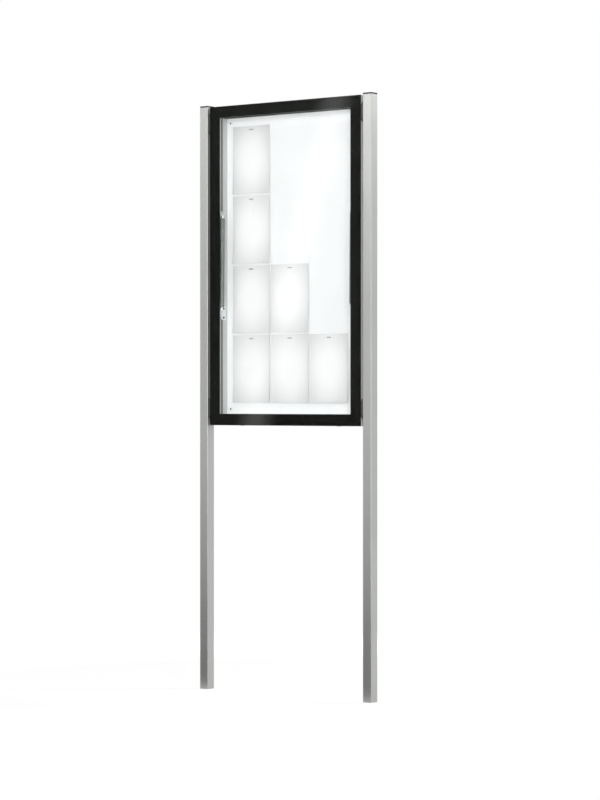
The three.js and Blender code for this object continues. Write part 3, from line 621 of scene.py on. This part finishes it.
# Gas struts: a painted cylinder with rolled ends, a chromed rod, and a steel eye at each end
strutSizes = {
    "lowerY": -18.4 * mm, "lowerZ": 1658 * mm, "upperY": -12.9 * mm, "upperZ": 2095 * mm,
    "centreX": 358.5 * mm, "cylinder": 9 * mm, "cylinderLength": 392 * mm, "rod": 4 * mm,
    "rodInside": 12 * mm, "mouthWall": 1.2 * mm, "mouthDepth": 9 * mm,
    # The cylinder's ends in mm: (distance from the end, how much less than the full radius)
    "lowerEnd": [(0, 1.9), (0.3, 0.8), (1.1, 0.15), (2, 0), (5, 0), (5.8, 0.7), (7, 0.7), (7.8, 0)],
    "upperEnd": [(4, 0), (2.2, 0.5), (0.9, 1.6), (0, 3.2)],
    "eye": 8 * mm, "eyeThickness": 6 * mm, "eyeHole": 3.3 * mm, "eyeEdge": 0.7 * mm,
    # The neck in mm: (distance, radius) from where it starts in the eye, and back from its end
    "eyeNeck": 20 * mm, "neckInEye": 1.5 * mm, "neckStart": [(0, 3.4), (3, 3.2)],
    "neckEnd": [(7, 3.2), (6.9, 5), (0.4, 5), (0, 4.6)],
}


def makeEye(name, height, towards):
    sizes = strutSizes
    half = sizes["eyeThickness"] / 2
    ring = growTurned("ring", [(-half, sizes["eye"]), (half, sizes["eye"])], sideCount=40)
    startEditing(ring)
    selectFaces(ring, lambda centre, normal: abs(normal.z) > facing)
    insetFaces(sizes["eye"] - sizes["eyeHole"])
    bpy.ops.mesh.bridge_edge_loops()
    bevelEdges(ring, sizes["eyeEdge"], segments=3, degrees=60)
    place(ring, (0, 0, height), (0, math.pi / 2, 0))
    inner, outer = sizes["eye"] - sizes["neckInEye"], sizes["eyeNeck"]
    profile = [(inner + along * mm, radius * mm) for along, radius in sizes["neckStart"]]
    profile += [(outer - along * mm, radius * mm) for along, radius in sizes["neckEnd"]]
    if towards < 0:
        profile = [(-h, r) for h, r in reversed(profile)]
    neck = growTurned("neck", [(height + h, r) for h, r in profile], sideCount=24)
    return joinPieces(name, [ring, neck])


def makeStrut(side, sign):
    sizes = strutSizes
    rise = Vector((0, sizes["upperY"] - sizes["lowerY"], sizes["upperZ"] - sizes["lowerZ"]))
    reach = rise.length
    top = reach - sizes["eyeNeck"]
    low = top - sizes["cylinderLength"]
    radius = sizes["cylinder"]
    shell = [(low + along * mm, radius - less * mm) for along, less in sizes["lowerEnd"]]
    shell += [(top - along * mm, radius - less * mm) for along, less in sizes["upperEnd"]]
    tube = growTurned(f"{side}_strut_tube", shell, sideCount=40)
    startEditing(tube)
    selectFaces(tube, lambda centre, normal: centre.z < low + hair and normal.z < -facing)
    insetFaces(sizes["mouthWall"])
    extrudeUp(sizes["mouthDepth"])
    rodProfile = [(sizes["eyeNeck"], sizes["rod"]), (top - sizes["rodInside"], sizes["rod"])]
    rod = growTurned(f"{side}_strut_piston_rod", rodProfile, sideCount=32)
    lowerEye = makeEye(f"{side}_strut_lower_eye", 0, 1)
    upperEye = makeEye(f"{side}_strut_upper_eye", reach, -1)
    lean = -math.atan2(rise.y, rise.z)
    for piece in (tube, rod, lowerEye, upperEye):
        place(piece, (sign * sizes["centreX"], sizes["lowerY"], sizes["lowerZ"]), (lean, 0, 0))
        smoothByAngle(piece)
    cylinderNode, rodNode = f"{side}_strut_cylinder", f"{side}_strut_rod"
    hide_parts(cylinderNode)
    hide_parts(rodNode)
    carry(tube, cylinderNode)
    carry(upperEye, cylinderNode, "zinc_plated_steel")
    carry(rod, rodNode)
    carry(lowerEye, rodNode, "zinc_plated_steel")


makeStrut("left", -1)
makeStrut("right", 1)
print("struts made")


# Screws of the panel and of the strut brackets: pan head with a hexagon socket
screwSizes = {"height": 2.4 * mm, "shank": 2 * mm, "shankLength": 1.5 * mm,
              # The head in mm: (height, radius), up to the height above
              "head": [(0.001, 4), (0.9, 4), (1.5, 3.7), (2, 3.1), (2.4, 2.1)],
              # The socket's cutter stands a little out of the head
              "socket": 1.5 * mm, "socketDepth": 1.5 * mm, "cutterOut": 1 * mm}
# The bracket screws are enlarged and painted near black: painted shade for the dark spots above and below
# each bracket
bracketScrewSizes = {"plateFace": 366.6 * mm, "depth": 2.1 * mm, "middle": 1658 * mm,
                     "halfPitch": 20 * mm, "scale": 1.19}


def makeScrew(name, seat, rotation, scale=1):
    sizes = screwSizes
    profile = [(-sizes["shankLength"], sizes["shank"]), (0, sizes["shank"])]
    profile += [(height * mm, radius * mm) for height, radius in sizes["head"]]
    piece = growTurned(name, profile, sideCount=32)
    cutter = growTurned("cutter", [(sizes["height"] - sizes["socketDepth"], sizes["socket"]),
                                   (sizes["height"] + sizes["cutterOut"], sizes["socket"])], hexagon)
    applyModifier(piece, "BOOLEAN", operation="DIFFERENCE", object=cutter, solver="EXACT")
    bpy.data.objects.remove(cutter)
    piece.scale = (scale, scale, scale)
    place(piece, seat, rotation)
    smoothByAngle(piece, degrees=30)
    return piece


def makePanelScrew(nodeName):
    low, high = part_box(nodeName)
    middle = (low + high) / 2
    seat = (middle.x, low.y + screwSizes["height"], middle.z)
    piece = makeScrew(nodeName + "_socket_head", seat, (math.pi / 2, 0, 0))
    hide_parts(nodeName)
    carry(piece, nodeName, material=finishes["dark_stainless"])


def makeBracketScrews(side, sign):
    sizes = bracketScrewSizes
    nodeName = f"{side}_strut_case_bracket"
    for level, word in ((-1, "lower"), (1, "upper")):
        seat = (sign * sizes["plateFace"], sizes["depth"], sizes["middle"] + level * sizes["halfPitch"])
        piece = makeScrew(f"{side}_strut_bracket_screw_{word}", seat,
                          (0, -sign * math.pi / 2, 0), sizes["scale"])
        carry(piece, nodeName, "stainless_steel", finishes["black_oxide"])


# Notice sheets: thin paper held at the top by a magnet, with its free corners lifting a little
sheetSizes = {
    "thickness": 0.12 * mm, "across": 20, "down": 26, "leastLift": 0.75, "mostLift": 1.15,
    "cornerLift": 2.5 * mm, "rightLift": 4 * mm, "leftLift": 0.5 * mm, "lowerLift": 3.5 * mm,
    # The sides lift outside this share of the half width, and less so towards the magnet
    "flatMiddle": 0.3, "bend": 1.6, "sideAtEdge": 0.565, "heldAtTop": 0.5,
    # The foot and the corners lift below these shares of the height
    "footBelow": 0.3, "cornerBelow": 0.35,
}


def makeSheet(nodeName, chance):
    sizes = sheetSizes
    low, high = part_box(nodeName)
    clearSelection()
    bpy.ops.mesh.primitive_grid_add(x_subdivisions=sizes["across"], y_subdivisions=sizes["down"], size=1)
    piece = bpy.context.object
    piece.name = nodeName + "_page"
    piece.scale = (high.x - low.x, high.z - low.z, 1)
    middle = (low + high) / 2
    place(piece, (middle.x, high.y - sizes["thickness"], middle.z), (math.pi / 2, 0, 0))
    corner, right, left, lower = (
        sizes[key] * chance.uniform(sizes["leastLift"], sizes["mostLift"])
        for key in ("cornerLift", "rightLift", "leftLift", "lowerLift"))
    for vertex in piece.data.vertices:
        across = (vertex.co.x - middle.x) / (high.x - low.x) * 2
        up = (vertex.co.z - low.z) / (high.z - low.z)
        outside = max(abs(across) - sizes["flatMiddle"], 0) ** sizes["bend"]
        side = (right if across > 0 else left) * outside / sizes["sideAtEdge"]
        foot = lower * max(1 - up / sizes["footBelow"], 0) ** sizes["bend"]
        curl = corner * abs(across) ** 3 * max(1 - up / sizes["cornerBelow"], 0) ** 2
        vertex.co.y -= side * (1 - sizes["heldAtTop"] * up) + foot + curl
    applyModifier(piece, "SOLIDIFY", thickness=sizes["thickness"], offset=0)
    smoothByAngle(piece, degrees=60)
    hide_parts(nodeName)
    carry(piece, nodeName)


# Bar magnets with rounded ends and a thin parting step round the sleeve
magnetSizes = {"corner": 1.2 * mm, "edge": 0.7 * mm, "step": 0.25 * mm, "softEdge": 0.35 * mm}


def makeMagnet(nodeName):
    low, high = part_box(nodeName)
    piece = startBlock(nodeName + "_bar", high - low, (low + high) / 2)
    roundCorners(piece, "y", magnetSizes["corner"], segments=4)
    selectFaces(piece, lambda centre, normal: normal.y < -facing)
    insetFaces(magnetSizes["edge"])
    bpy.ops.transform.translate(value=(0, magnetSizes["step"], 0))
    bevelEdges(piece, magnetSizes["softEdge"], segments=3, degrees=40)
    smoothRounds(piece, degrees=30)
    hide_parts(nodeName)
    carry(piece, nodeName)


chance = random.Random(7)
for number in range(1, 8):
    makeSheet(f"notice_sheet_{number}", chance)
    makeMagnet(f"sheet_magnet_{number}")
for corner in ("upper_left", "upper_right", "lower_left", "lower_right"):
    makePanelScrew("panel_screw_" + corner)
makeBracketScrews("left", -1)
makeBracketScrews("right", 1)
print("sheets, magnets and screws made")


# Rear cover: a pressed sheet with a lowered rim and a dished middle, held by pop rivets
coverSizes = {
    "rimSheet": 0.6 * mm, "corner": 4 * mm, "rim": 16 * mm, "swage": 1.6 * mm,
    "dishFromRim": 55 * mm, "dish": 0.5 * mm, "softEdge": 0.4 * mm,
    "rivetInset": 8 * mm, "rivetsUp": 8, "rivetsAcross": 5,
    # A rivet in mm: (height, radius)
    "rivet": [(0, 4), (0.35, 4), (0.65, 3.5), (0.82, 2.4), (0.82, 1.3), (0.4, 1.2)],
}


def makeRearCover():
    sizes = coverSizes
    low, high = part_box("rear_cover")
    rimBack = low.y + sizes["rimSheet"]
    size = Vector((high.x - low.x, sizes["rimSheet"], high.z - low.z))
    middle = ((low.x + high.x) / 2, rimBack - size.y / 2, (low.z + high.z) / 2)
    piece = startBlock("rear_cover_pressing", size, middle)
    selectFaces(piece, lambda centre, normal: normal.y > facing)
    insetFaces(sizes["rim"])
    insetFaces(sizes["swage"], high.y - rimBack)
    insetFaces(sizes["dishFromRim"])
    insetFaces(sizes["swage"], -sizes["dish"])
    selectEdges(piece, lambda a, b: max(a.y, b.y) < rimBack + hair and abs(a.y - b.y) > hair)
    bpy.ops.mesh.bevel(offset=sizes["corner"], segments=5)
    bevelEdges(piece, sizes["softEdge"], segments=2, degrees=12)
    smoothRounds(piece, degrees=60)
    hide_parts("rear_cover")
    carry(piece, "rear_cover")
    left, right = low.x + sizes["rivetInset"], high.x - sizes["rivetInset"]
    bottom, top = low.z + sizes["rivetInset"], high.z - sizes["rivetInset"]
    spots = []
    for i in range(sizes["rivetsUp"]):
        z = bottom + (top - bottom) * i / (sizes["rivetsUp"] - 1)
        spots += [(left, z), (right, z)]
    for i in range(1, sizes["rivetsAcross"] - 1):
        x = left + (right - left) * i / (sizes["rivetsAcross"] - 1)
        spots += [(x, bottom), (x, top)]
    profile = [(height * mm, radius * mm) for height, radius in sizes["rivet"]]
    rivets = [place(growTurned("rivet", profile, sideCount=24), (x, rimBack, z), (-math.pi / 2, 0, 0))
              for x, z in spots]
    joined = joinPieces("rear_cover_rivets", rivets)
    smoothByAngle(joined)
    carry(joined, "rear_cover", "stainless_steel")


makeRearCover()
print("rear cover made")


# Edge radius on each softened part of the frame and its fittings
softEdges = {"case": 0.5 * mm, "door": 0.6 * mm, "bracket": 0.35 * mm, "lock": 0.3 * mm}

for frameSide in ("top", "bottom", "left", "right"):
    for part in ("case", "door"):
        softenNode(f"{part}_{frameSide}_rail", "_profile", softEdges[part])
for side in ("left", "right"):
    for word, edge in (("strut_case_bracket", "bracket"), ("strut_door_bracket", "bracket"),
                       ("lock_keeper", "lock"), ("lock_barrel", "lock"), ("lock_plug", "lock")):
        softenNode(f"{side}_{word}", "_part", softEdges[edge])
for nodeName in ("hinge_case_leaf", "hinge_door_leaf", "hinge_pin", "door_seal"):
    softenNode(nodeName, "_part", 0)
# The nodes that nothing replaces are shown as they are
for nodeName, node in cadNodes.items():
    if not node.hide_render:
        paint(node, finishOf(nodeName))
print("frame, fittings and locks dressed")


# A mitred ring round an opening in X and Z, from pairs of distance outside the opening and depth
def growRing(name, opening, section, sides=("bottom", "right", "top", "left")):
    halfWidth, lowZ, highZ = opening
    mesh = bmesh.new()
    corners = {
        "bottom": ((-1, lowZ, -1), (1, lowZ, -1)), "right": ((1, lowZ, -1), (1, highZ, 1)),
        "top": ((1, highZ, 1), (-1, highZ, 1)), "left": ((-1, highZ, 1), (-1, lowZ, -1)),
    }
    rings = {}
    for side in sides:
        for right, z, up in corners[side]:
            if (right, z) not in rings:
                rings[right, z] = [
                    mesh.verts.new((right * (halfWidth + out), y, z + up * out)) for out, y in section]
        here, there = (rings[right, z] for right, z, up in corners[side])
        for i in range(len(section)):
            j = (i + 1) % len(section)
            mesh.faces.new((here[i], here[j], there[j], there[i]))
    if len(sides) < 4:
        mesh.faces.new(rings[corners[sides[0]][0][:2]])
        mesh.faces.new(rings[corners[sides[-1]][1][:2]])
    bmesh.ops.recalc_face_normals(mesh, faces=mesh.faces)
    data = bpy.data.meshes.new(name)
    mesh.to_mesh(data)
    mesh.free()
    return addObject(name, data)


# Trims: rubber on the case's nose with its top run darker as painted shade, a black rubber strip under
# its top wall as painted shade, and what closes the door's edge
trimSizes = {
    # Each opening: half width, lower and upper edge
    "inside": (368.5 * mm, 1214 * mm, 2516 * mm), "door": (417.5 * mm, 1165 * mm, 2565 * mm),
    "offWall": 0.1 * mm,
    "noseFront": -12.7 * mm, "noseBack": -4.6 * mm, "noseDeep": 2.8 * mm, "noseSoft": 1 * mm,
    "noseSteps": 4, "lipOut": -0.6 * mm, "lipBack": -2.2 * mm, "lipSlope": 0.5 * mm,
    # The strip under the top wall is painted shade: a black sheet where the wall's underside lies in
    # shade
    "lining": 0.7 * mm, "liningFront": -4 * mm, "liningBack": 27.6 * mm,
    "liningFromSides": 1.5 * mm, "liningCorner": 3 * mm, "liningEdge": 0.3 * mm, "liningBulge": 0.2 * mm,
    "enamel": 0.05 * mm, "tapeWidth": 0.95 * mm, "tapeFront": -29.3 * mm, "tapeBack": -28.5 * mm,
    "edgeFront": -29.2 * mm, "edgeBack": -18 * mm, "edgeNear": 0.12 * mm, "edgeFar": 0.5 * mm,
}


# The lip laps a little over the wall behind the nose
def makeNoseSeal():
    sizes = trimSizes
    front, back, soft = sizes["noseFront"], sizes["noseBack"], sizes["noseSoft"]
    lip, lipBack = sizes["lipOut"], sizes["lipBack"]
    section = [(sizes["noseDeep"], front), (sizes["noseDeep"], back), (-sizes["offWall"], back),
               (-sizes["offWall"], lipBack), (lip / 2, lipBack), (lip, lipBack - sizes["lipSlope"])]
    for step in range(sizes["noseSteps"] + 1):
        turn = math.pi / 2 * step / sizes["noseSteps"]
        section.append((lip + soft - soft * math.cos(turn), front + soft - soft * math.sin(turn)))
    # The top run is black where the sides are grey: painted shade for the dark band under the top wall
    for name, sides, finish in (("case_nose_seal", ("left", "bottom", "right"), "grey_rubber"),
                                ("case_nose_drip_edge", ("top",), "rubber")):
        ring = growRing(name, sizes["inside"], section, sides)
        smoothRounds(ring, degrees=40)
        carry(ring, "door_seal", material=finishes[finish])


# Black tape closes the edge between pane and frame, and a thin aluminium trim, whitened as painted light,
# runs round the door's rim
def makeDoorEdge():
    sizes = trimSizes
    tape = growRing("door_edge_tape", sizes["door"], [
        (-sizes["tapeWidth"], sizes["tapeFront"]), (-sizes["enamel"], sizes["tapeFront"]),
        (-sizes["enamel"], sizes["tapeBack"]), (-sizes["tapeWidth"], sizes["tapeBack"])])
    smoothRounds(tape)
    carry(tape, "glass_border")
    near, far, front, back = sizes["edgeNear"], sizes["edgeFar"], sizes["edgeFront"], sizes["edgeBack"]
    soft = (far - near) / 2
    trim = growRing("door_edge_trim", sizes["door"], [
        (near, front), (near, back), (far - soft, back),
        (far, back - soft), (far, front + soft), (far - soft, front)])
    smoothRounds(trim, degrees=50)
    carry(trim, "door_left_rail", material=paintedLightTrimFinish)


# A black rubber strip under the case's top wall: painted shade, a dark sheet where the underside only
# lies in shade
def makeTopShadeStrip():
    sizes = trimSizes
    halfWidth, _, high = sizes["inside"]
    top = high - sizes["offWall"]
    width = 2 * (halfWidth - sizes["liningFromSides"])
    size = (width, sizes["liningBack"] - sizes["liningFront"], sizes["lining"])
    middle = (0, (sizes["liningBack"] + sizes["liningFront"]) / 2, top - sizes["lining"] / 2)
    lining = startBlock("case_top_lining", size, middle)
    roundCorners(lining, "z", sizes["liningCorner"], segments=5)
    selectFaces(lining, lambda centre, normal: normal.z < -facing)
    insetFaces(sizes["liningEdge"])
    bpy.ops.transform.translate(value=(0, 0, -sizes["liningBulge"]))
    smoothRounds(lining, degrees=30)
    carry(lining, "case_top_rail", "rubber")


# The pane's edge is enamelled black under the trim
def makeEdgeEnamel():
    piece = mergedCopy("door_glass", "door_glass_edge_enamel")
    selectFaces(piece, lambda centre, normal: abs(normal.y) > facing)
    bpy.ops.mesh.delete(type="FACE")
    clearSelection()
    applyModifier(piece, "SOLIDIFY", thickness=trimSizes["enamel"], offset=1, use_even_offset=True)
    smoothByAngle(piece, degrees=40)
    carry(piece, "door_glass", "black_enamel")


makeNoseSeal()
makeTopShadeStrip()
makeEdgeEnamel()
makeDoorEdge()
print("trims made")


# Studio: pale floor, white surroundings, soft lamps
studio = {
    "ambient": 0.26, "floor": "#F2F2F1", "floorSize": 80, "floorGlow": 2.8, "floorShow": 0.75,
    "shadowTo": 1.6, "whiteFrom": 3.4, "lampsAimAt": (0, 0, 1.4),
}
# Each lamp: watts, place, width and height of its softbox
lamps = {
    "frontSoftbox": (340, (6.6, -11.4, 1.9), 2.0, 1.4),
    "sideSoftbox": (36, (4.6, -3.9, 4.2), 1.2, 1.2),
    "upperSoftbox": (84, (-4.3, -7.1, 4.5), 2.0, 1.6),
    "rearSoftbox": (60, (4.4, 7.6, 6.4), 3.4, 3.0),
    "rimSoftbox": (22, (2.0, 1.95, 3.6), 0.8, 0.8),
}


def seenDirectly(tree):
    path = addNode(tree, "ShaderNodeLightPath")
    first = addNode(tree, "ShaderNodeMath", {"operation": "MAXIMUM"},
                    links={0: path.outputs["Is Camera Ray"], 1: path.outputs["Is Glossy Ray"]})
    return addNode(tree, "ShaderNodeMath", {"operation": "MAXIMUM"},
                   links={0: first.outputs[0], 1: path.outputs["Is Transmission Ray"]}).outputs[0]


def buildWorld():
    world = bpy.data.worlds.new("whiteStudio")
    bpy.context.scene.world = world
    world.use_nodes = True
    tree = world.node_tree
    tree.nodes.clear()
    ambient = addNode(tree, "ShaderNodeBackground",
                      values={"Color": (1, 1, 1, 1), "Strength": studio["ambient"]})
    backdrop = addNode(tree, "ShaderNodeBackground", values={"Color": (1, 1, 1, 1), "Strength": 1})
    mix = addNode(tree, "ShaderNodeMixShader",
                  links={0: seenDirectly(tree), 1: ambient.outputs[0], 2: backdrop.outputs[0]})
    addNode(tree, "ShaderNodeOutputWorld", links={"Surface": mix.outputs[0]})


def buildFloor():
    clearSelection()
    bpy.ops.mesh.primitive_plane_add(size=studio["floorSize"])
    floor = bpy.context.object
    floor.name = "studioFloor"
    material, tree, position = startMaterial("paleStudioFloor")
    paper = addNode(tree, "ShaderNodeBsdfDiffuse", values={"Color": toLinear(studio["floor"])})
    # Shadows show near the object, and further off the floor fades into the white of the room
    distance = addNode(tree, "ShaderNodeVectorMath", {"operation": "LENGTH"}, links={0: position})
    fades = []
    for near, far in ((studio["floorGlow"], 1), (studio["floorShow"], 0)):
        fades.append(addNode(tree, "ShaderNodeMapRange", {"interpolation_type": "SMOOTHSTEP"},
                             {"From Min": studio["shadowTo"], "From Max": studio["whiteFrom"],
                              "To Min": near, "To Max": far},
                             {"Value": distance.outputs["Value"]}).outputs[0])
    glow = addNode(tree, "ShaderNodeEmission", links={"Strength": fades[0]})
    shown = addNode(tree, "ShaderNodeMixShader",
                    links={0: fades[1], 1: glow.outputs[0], 2: paper.outputs[0]})
    mix = addNode(tree, "ShaderNodeMixShader",
                  links={0: seenDirectly(tree), 1: paper.outputs[0], 2: shown.outputs[0]})
    endMaterial(tree, mix.outputs[0])
    paint(floor, material)


def addLamp(name):
    power, location, width, height = lamps[name]
    data = bpy.data.lights.new(name, "AREA")
    data.shape = "RECTANGLE"
    data.size = width
    data.size_y = height
    data.energy = power
    lamp = addObject(name, data)
    lamp.location = location
    aim = Vector(studio["lampsAimAt"]) - Vector(location)
    lamp.rotation_euler = aim.to_track_quat("-Z", "Y").to_euler()


# Dark cards stand where the glass and the posts mirror the room, out of the camera's sight
cards = {
    "farDistance": 12, "farWidth": 2.6, "farLow": 0.7, "farHigh": 4.4,
    "bandWidth": 0.075, "bandLean": 0.35, "bandPlace": 0.026, "bandPeak": 0.58,
    "nearX": -0.9, "nearWidth": 4.4, "nearFoot": -0.12, "nearHead": -1.6, "nearHigh": 1.25,
    "nearOffFloor": 1 * mm, "nearDarkest": 0.76,
}


def addCard(name, width, height, location, rotation, material, hidden):
    clearSelection()
    bpy.ops.mesh.primitive_plane_add(size=1)
    card = bpy.context.object
    card.name = name
    card.scale = (width, height, 1)
    card.rotation_euler = rotation
    card.location = location
    for ray in hidden:
        setattr(card, "visible_" + ray, False)
    paint(card, material)


def cardMaterial(name):
    material, tree, position = startMaterial(name)
    parts = addNode(tree, "ShaderNodeSeparateXYZ", links={0: position})
    return material, tree, parts


def buildCards():
    material, tree, parts = cardMaterial("blackCardWithLightBand")
    lean = addNode(tree, "ShaderNodeMath", {"operation": "MULTIPLY_ADD"},
                   {1: -cards["bandLean"], 2: -cards["bandPlace"]}, {0: parts.outputs["Y"]})
    offset = addNode(tree, "ShaderNodeMath", {"operation": "ADD"},
                     links={0: parts.outputs["X"], 1: lean.outputs[0]})
    away = addNode(tree, "ShaderNodeMath", {"operation": "ABSOLUTE"}, links={0: offset.outputs[0]})
    band = addNode(tree, "ShaderNodeMapRange", {"interpolation_type": "SMOOTHSTEP"},
                   {"From Min": 0, "From Max": cards["bandWidth"],
                    "To Min": cards["bandPeak"], "To Max": 0}, {"Value": away.outputs[0]})
    light = addNode(tree, "ShaderNodeEmission", links={"Strength": band.outputs[0]})
    endMaterial(tree, light.outputs[0])
    turn = math.radians(view["turn"])
    distance, low, high = cards["farDistance"], cards["farLow"], cards["farHigh"]
    addCard("farCard", cards["farWidth"], high - low,
            (-distance * math.sin(turn), -distance * math.cos(turn), (low + high) / 2),
            (math.pi / 2, 0, -turn), material, ("camera", "diffuse", "shadow"))
    material, tree, parts = cardMaterial("gradedNearCard")
    fade = addNode(tree, "ShaderNodeMapRange", {"interpolation_type": "SMOOTHSTEP"},
                   {"From Min": -0.5, "From Max": 0.5, "To Min": cards["nearDarkest"], "To Max": 0},
                   {"Value": parts.outputs["Y"]})
    black = addNode(tree, "ShaderNodeEmission", values={"Strength": 0})
    clear = addNode(tree, "ShaderNodeBsdfTransparent")
    mix = addNode(tree, "ShaderNodeMixShader",
                  links={0: fade.outputs[0], 1: clear.outputs[0], 2: black.outputs[0]})
    endMaterial(tree, mix.outputs[0])
    # It leans away from the posts' feet towards the front
    run, rise = cards["nearHead"] - cards["nearFoot"], cards["nearHigh"]
    middleY = (cards["nearHead"] + cards["nearFoot"]) / 2
    addCard("nearCard", cards["nearWidth"], math.hypot(run, rise),
            (cards["nearX"], middleY, rise / 2 + cards["nearOffFloor"]),
            (math.atan2(rise, run), 0, 0), material, ("camera", "diffuse", "shadow", "transmission"))


# Camera: level, slightly below the board's middle, to the right of its front
view = {"place": (7.6965, -9.5234, 1.2824), "turn": 38.71, "lens": 127.44, "shiftY": -0.002}
buildWorld()
buildFloor()
buildCards()
for lampName in lamps:
    addLamp(lampName)
cameraData = bpy.data.cameras.new("camera")
cameraData.lens = view["lens"]
cameraData.shift_y = view["shiftY"]
camera = addObject("camera", cameraData)
camera.location = view["place"]
camera.rotation_euler = (math.pi / 2, 0, math.radians(view["turn"]))
bpy.context.scene.camera = camera
bpy.context.scene.view_settings.view_transform = "Standard"
print("studio and camera set")
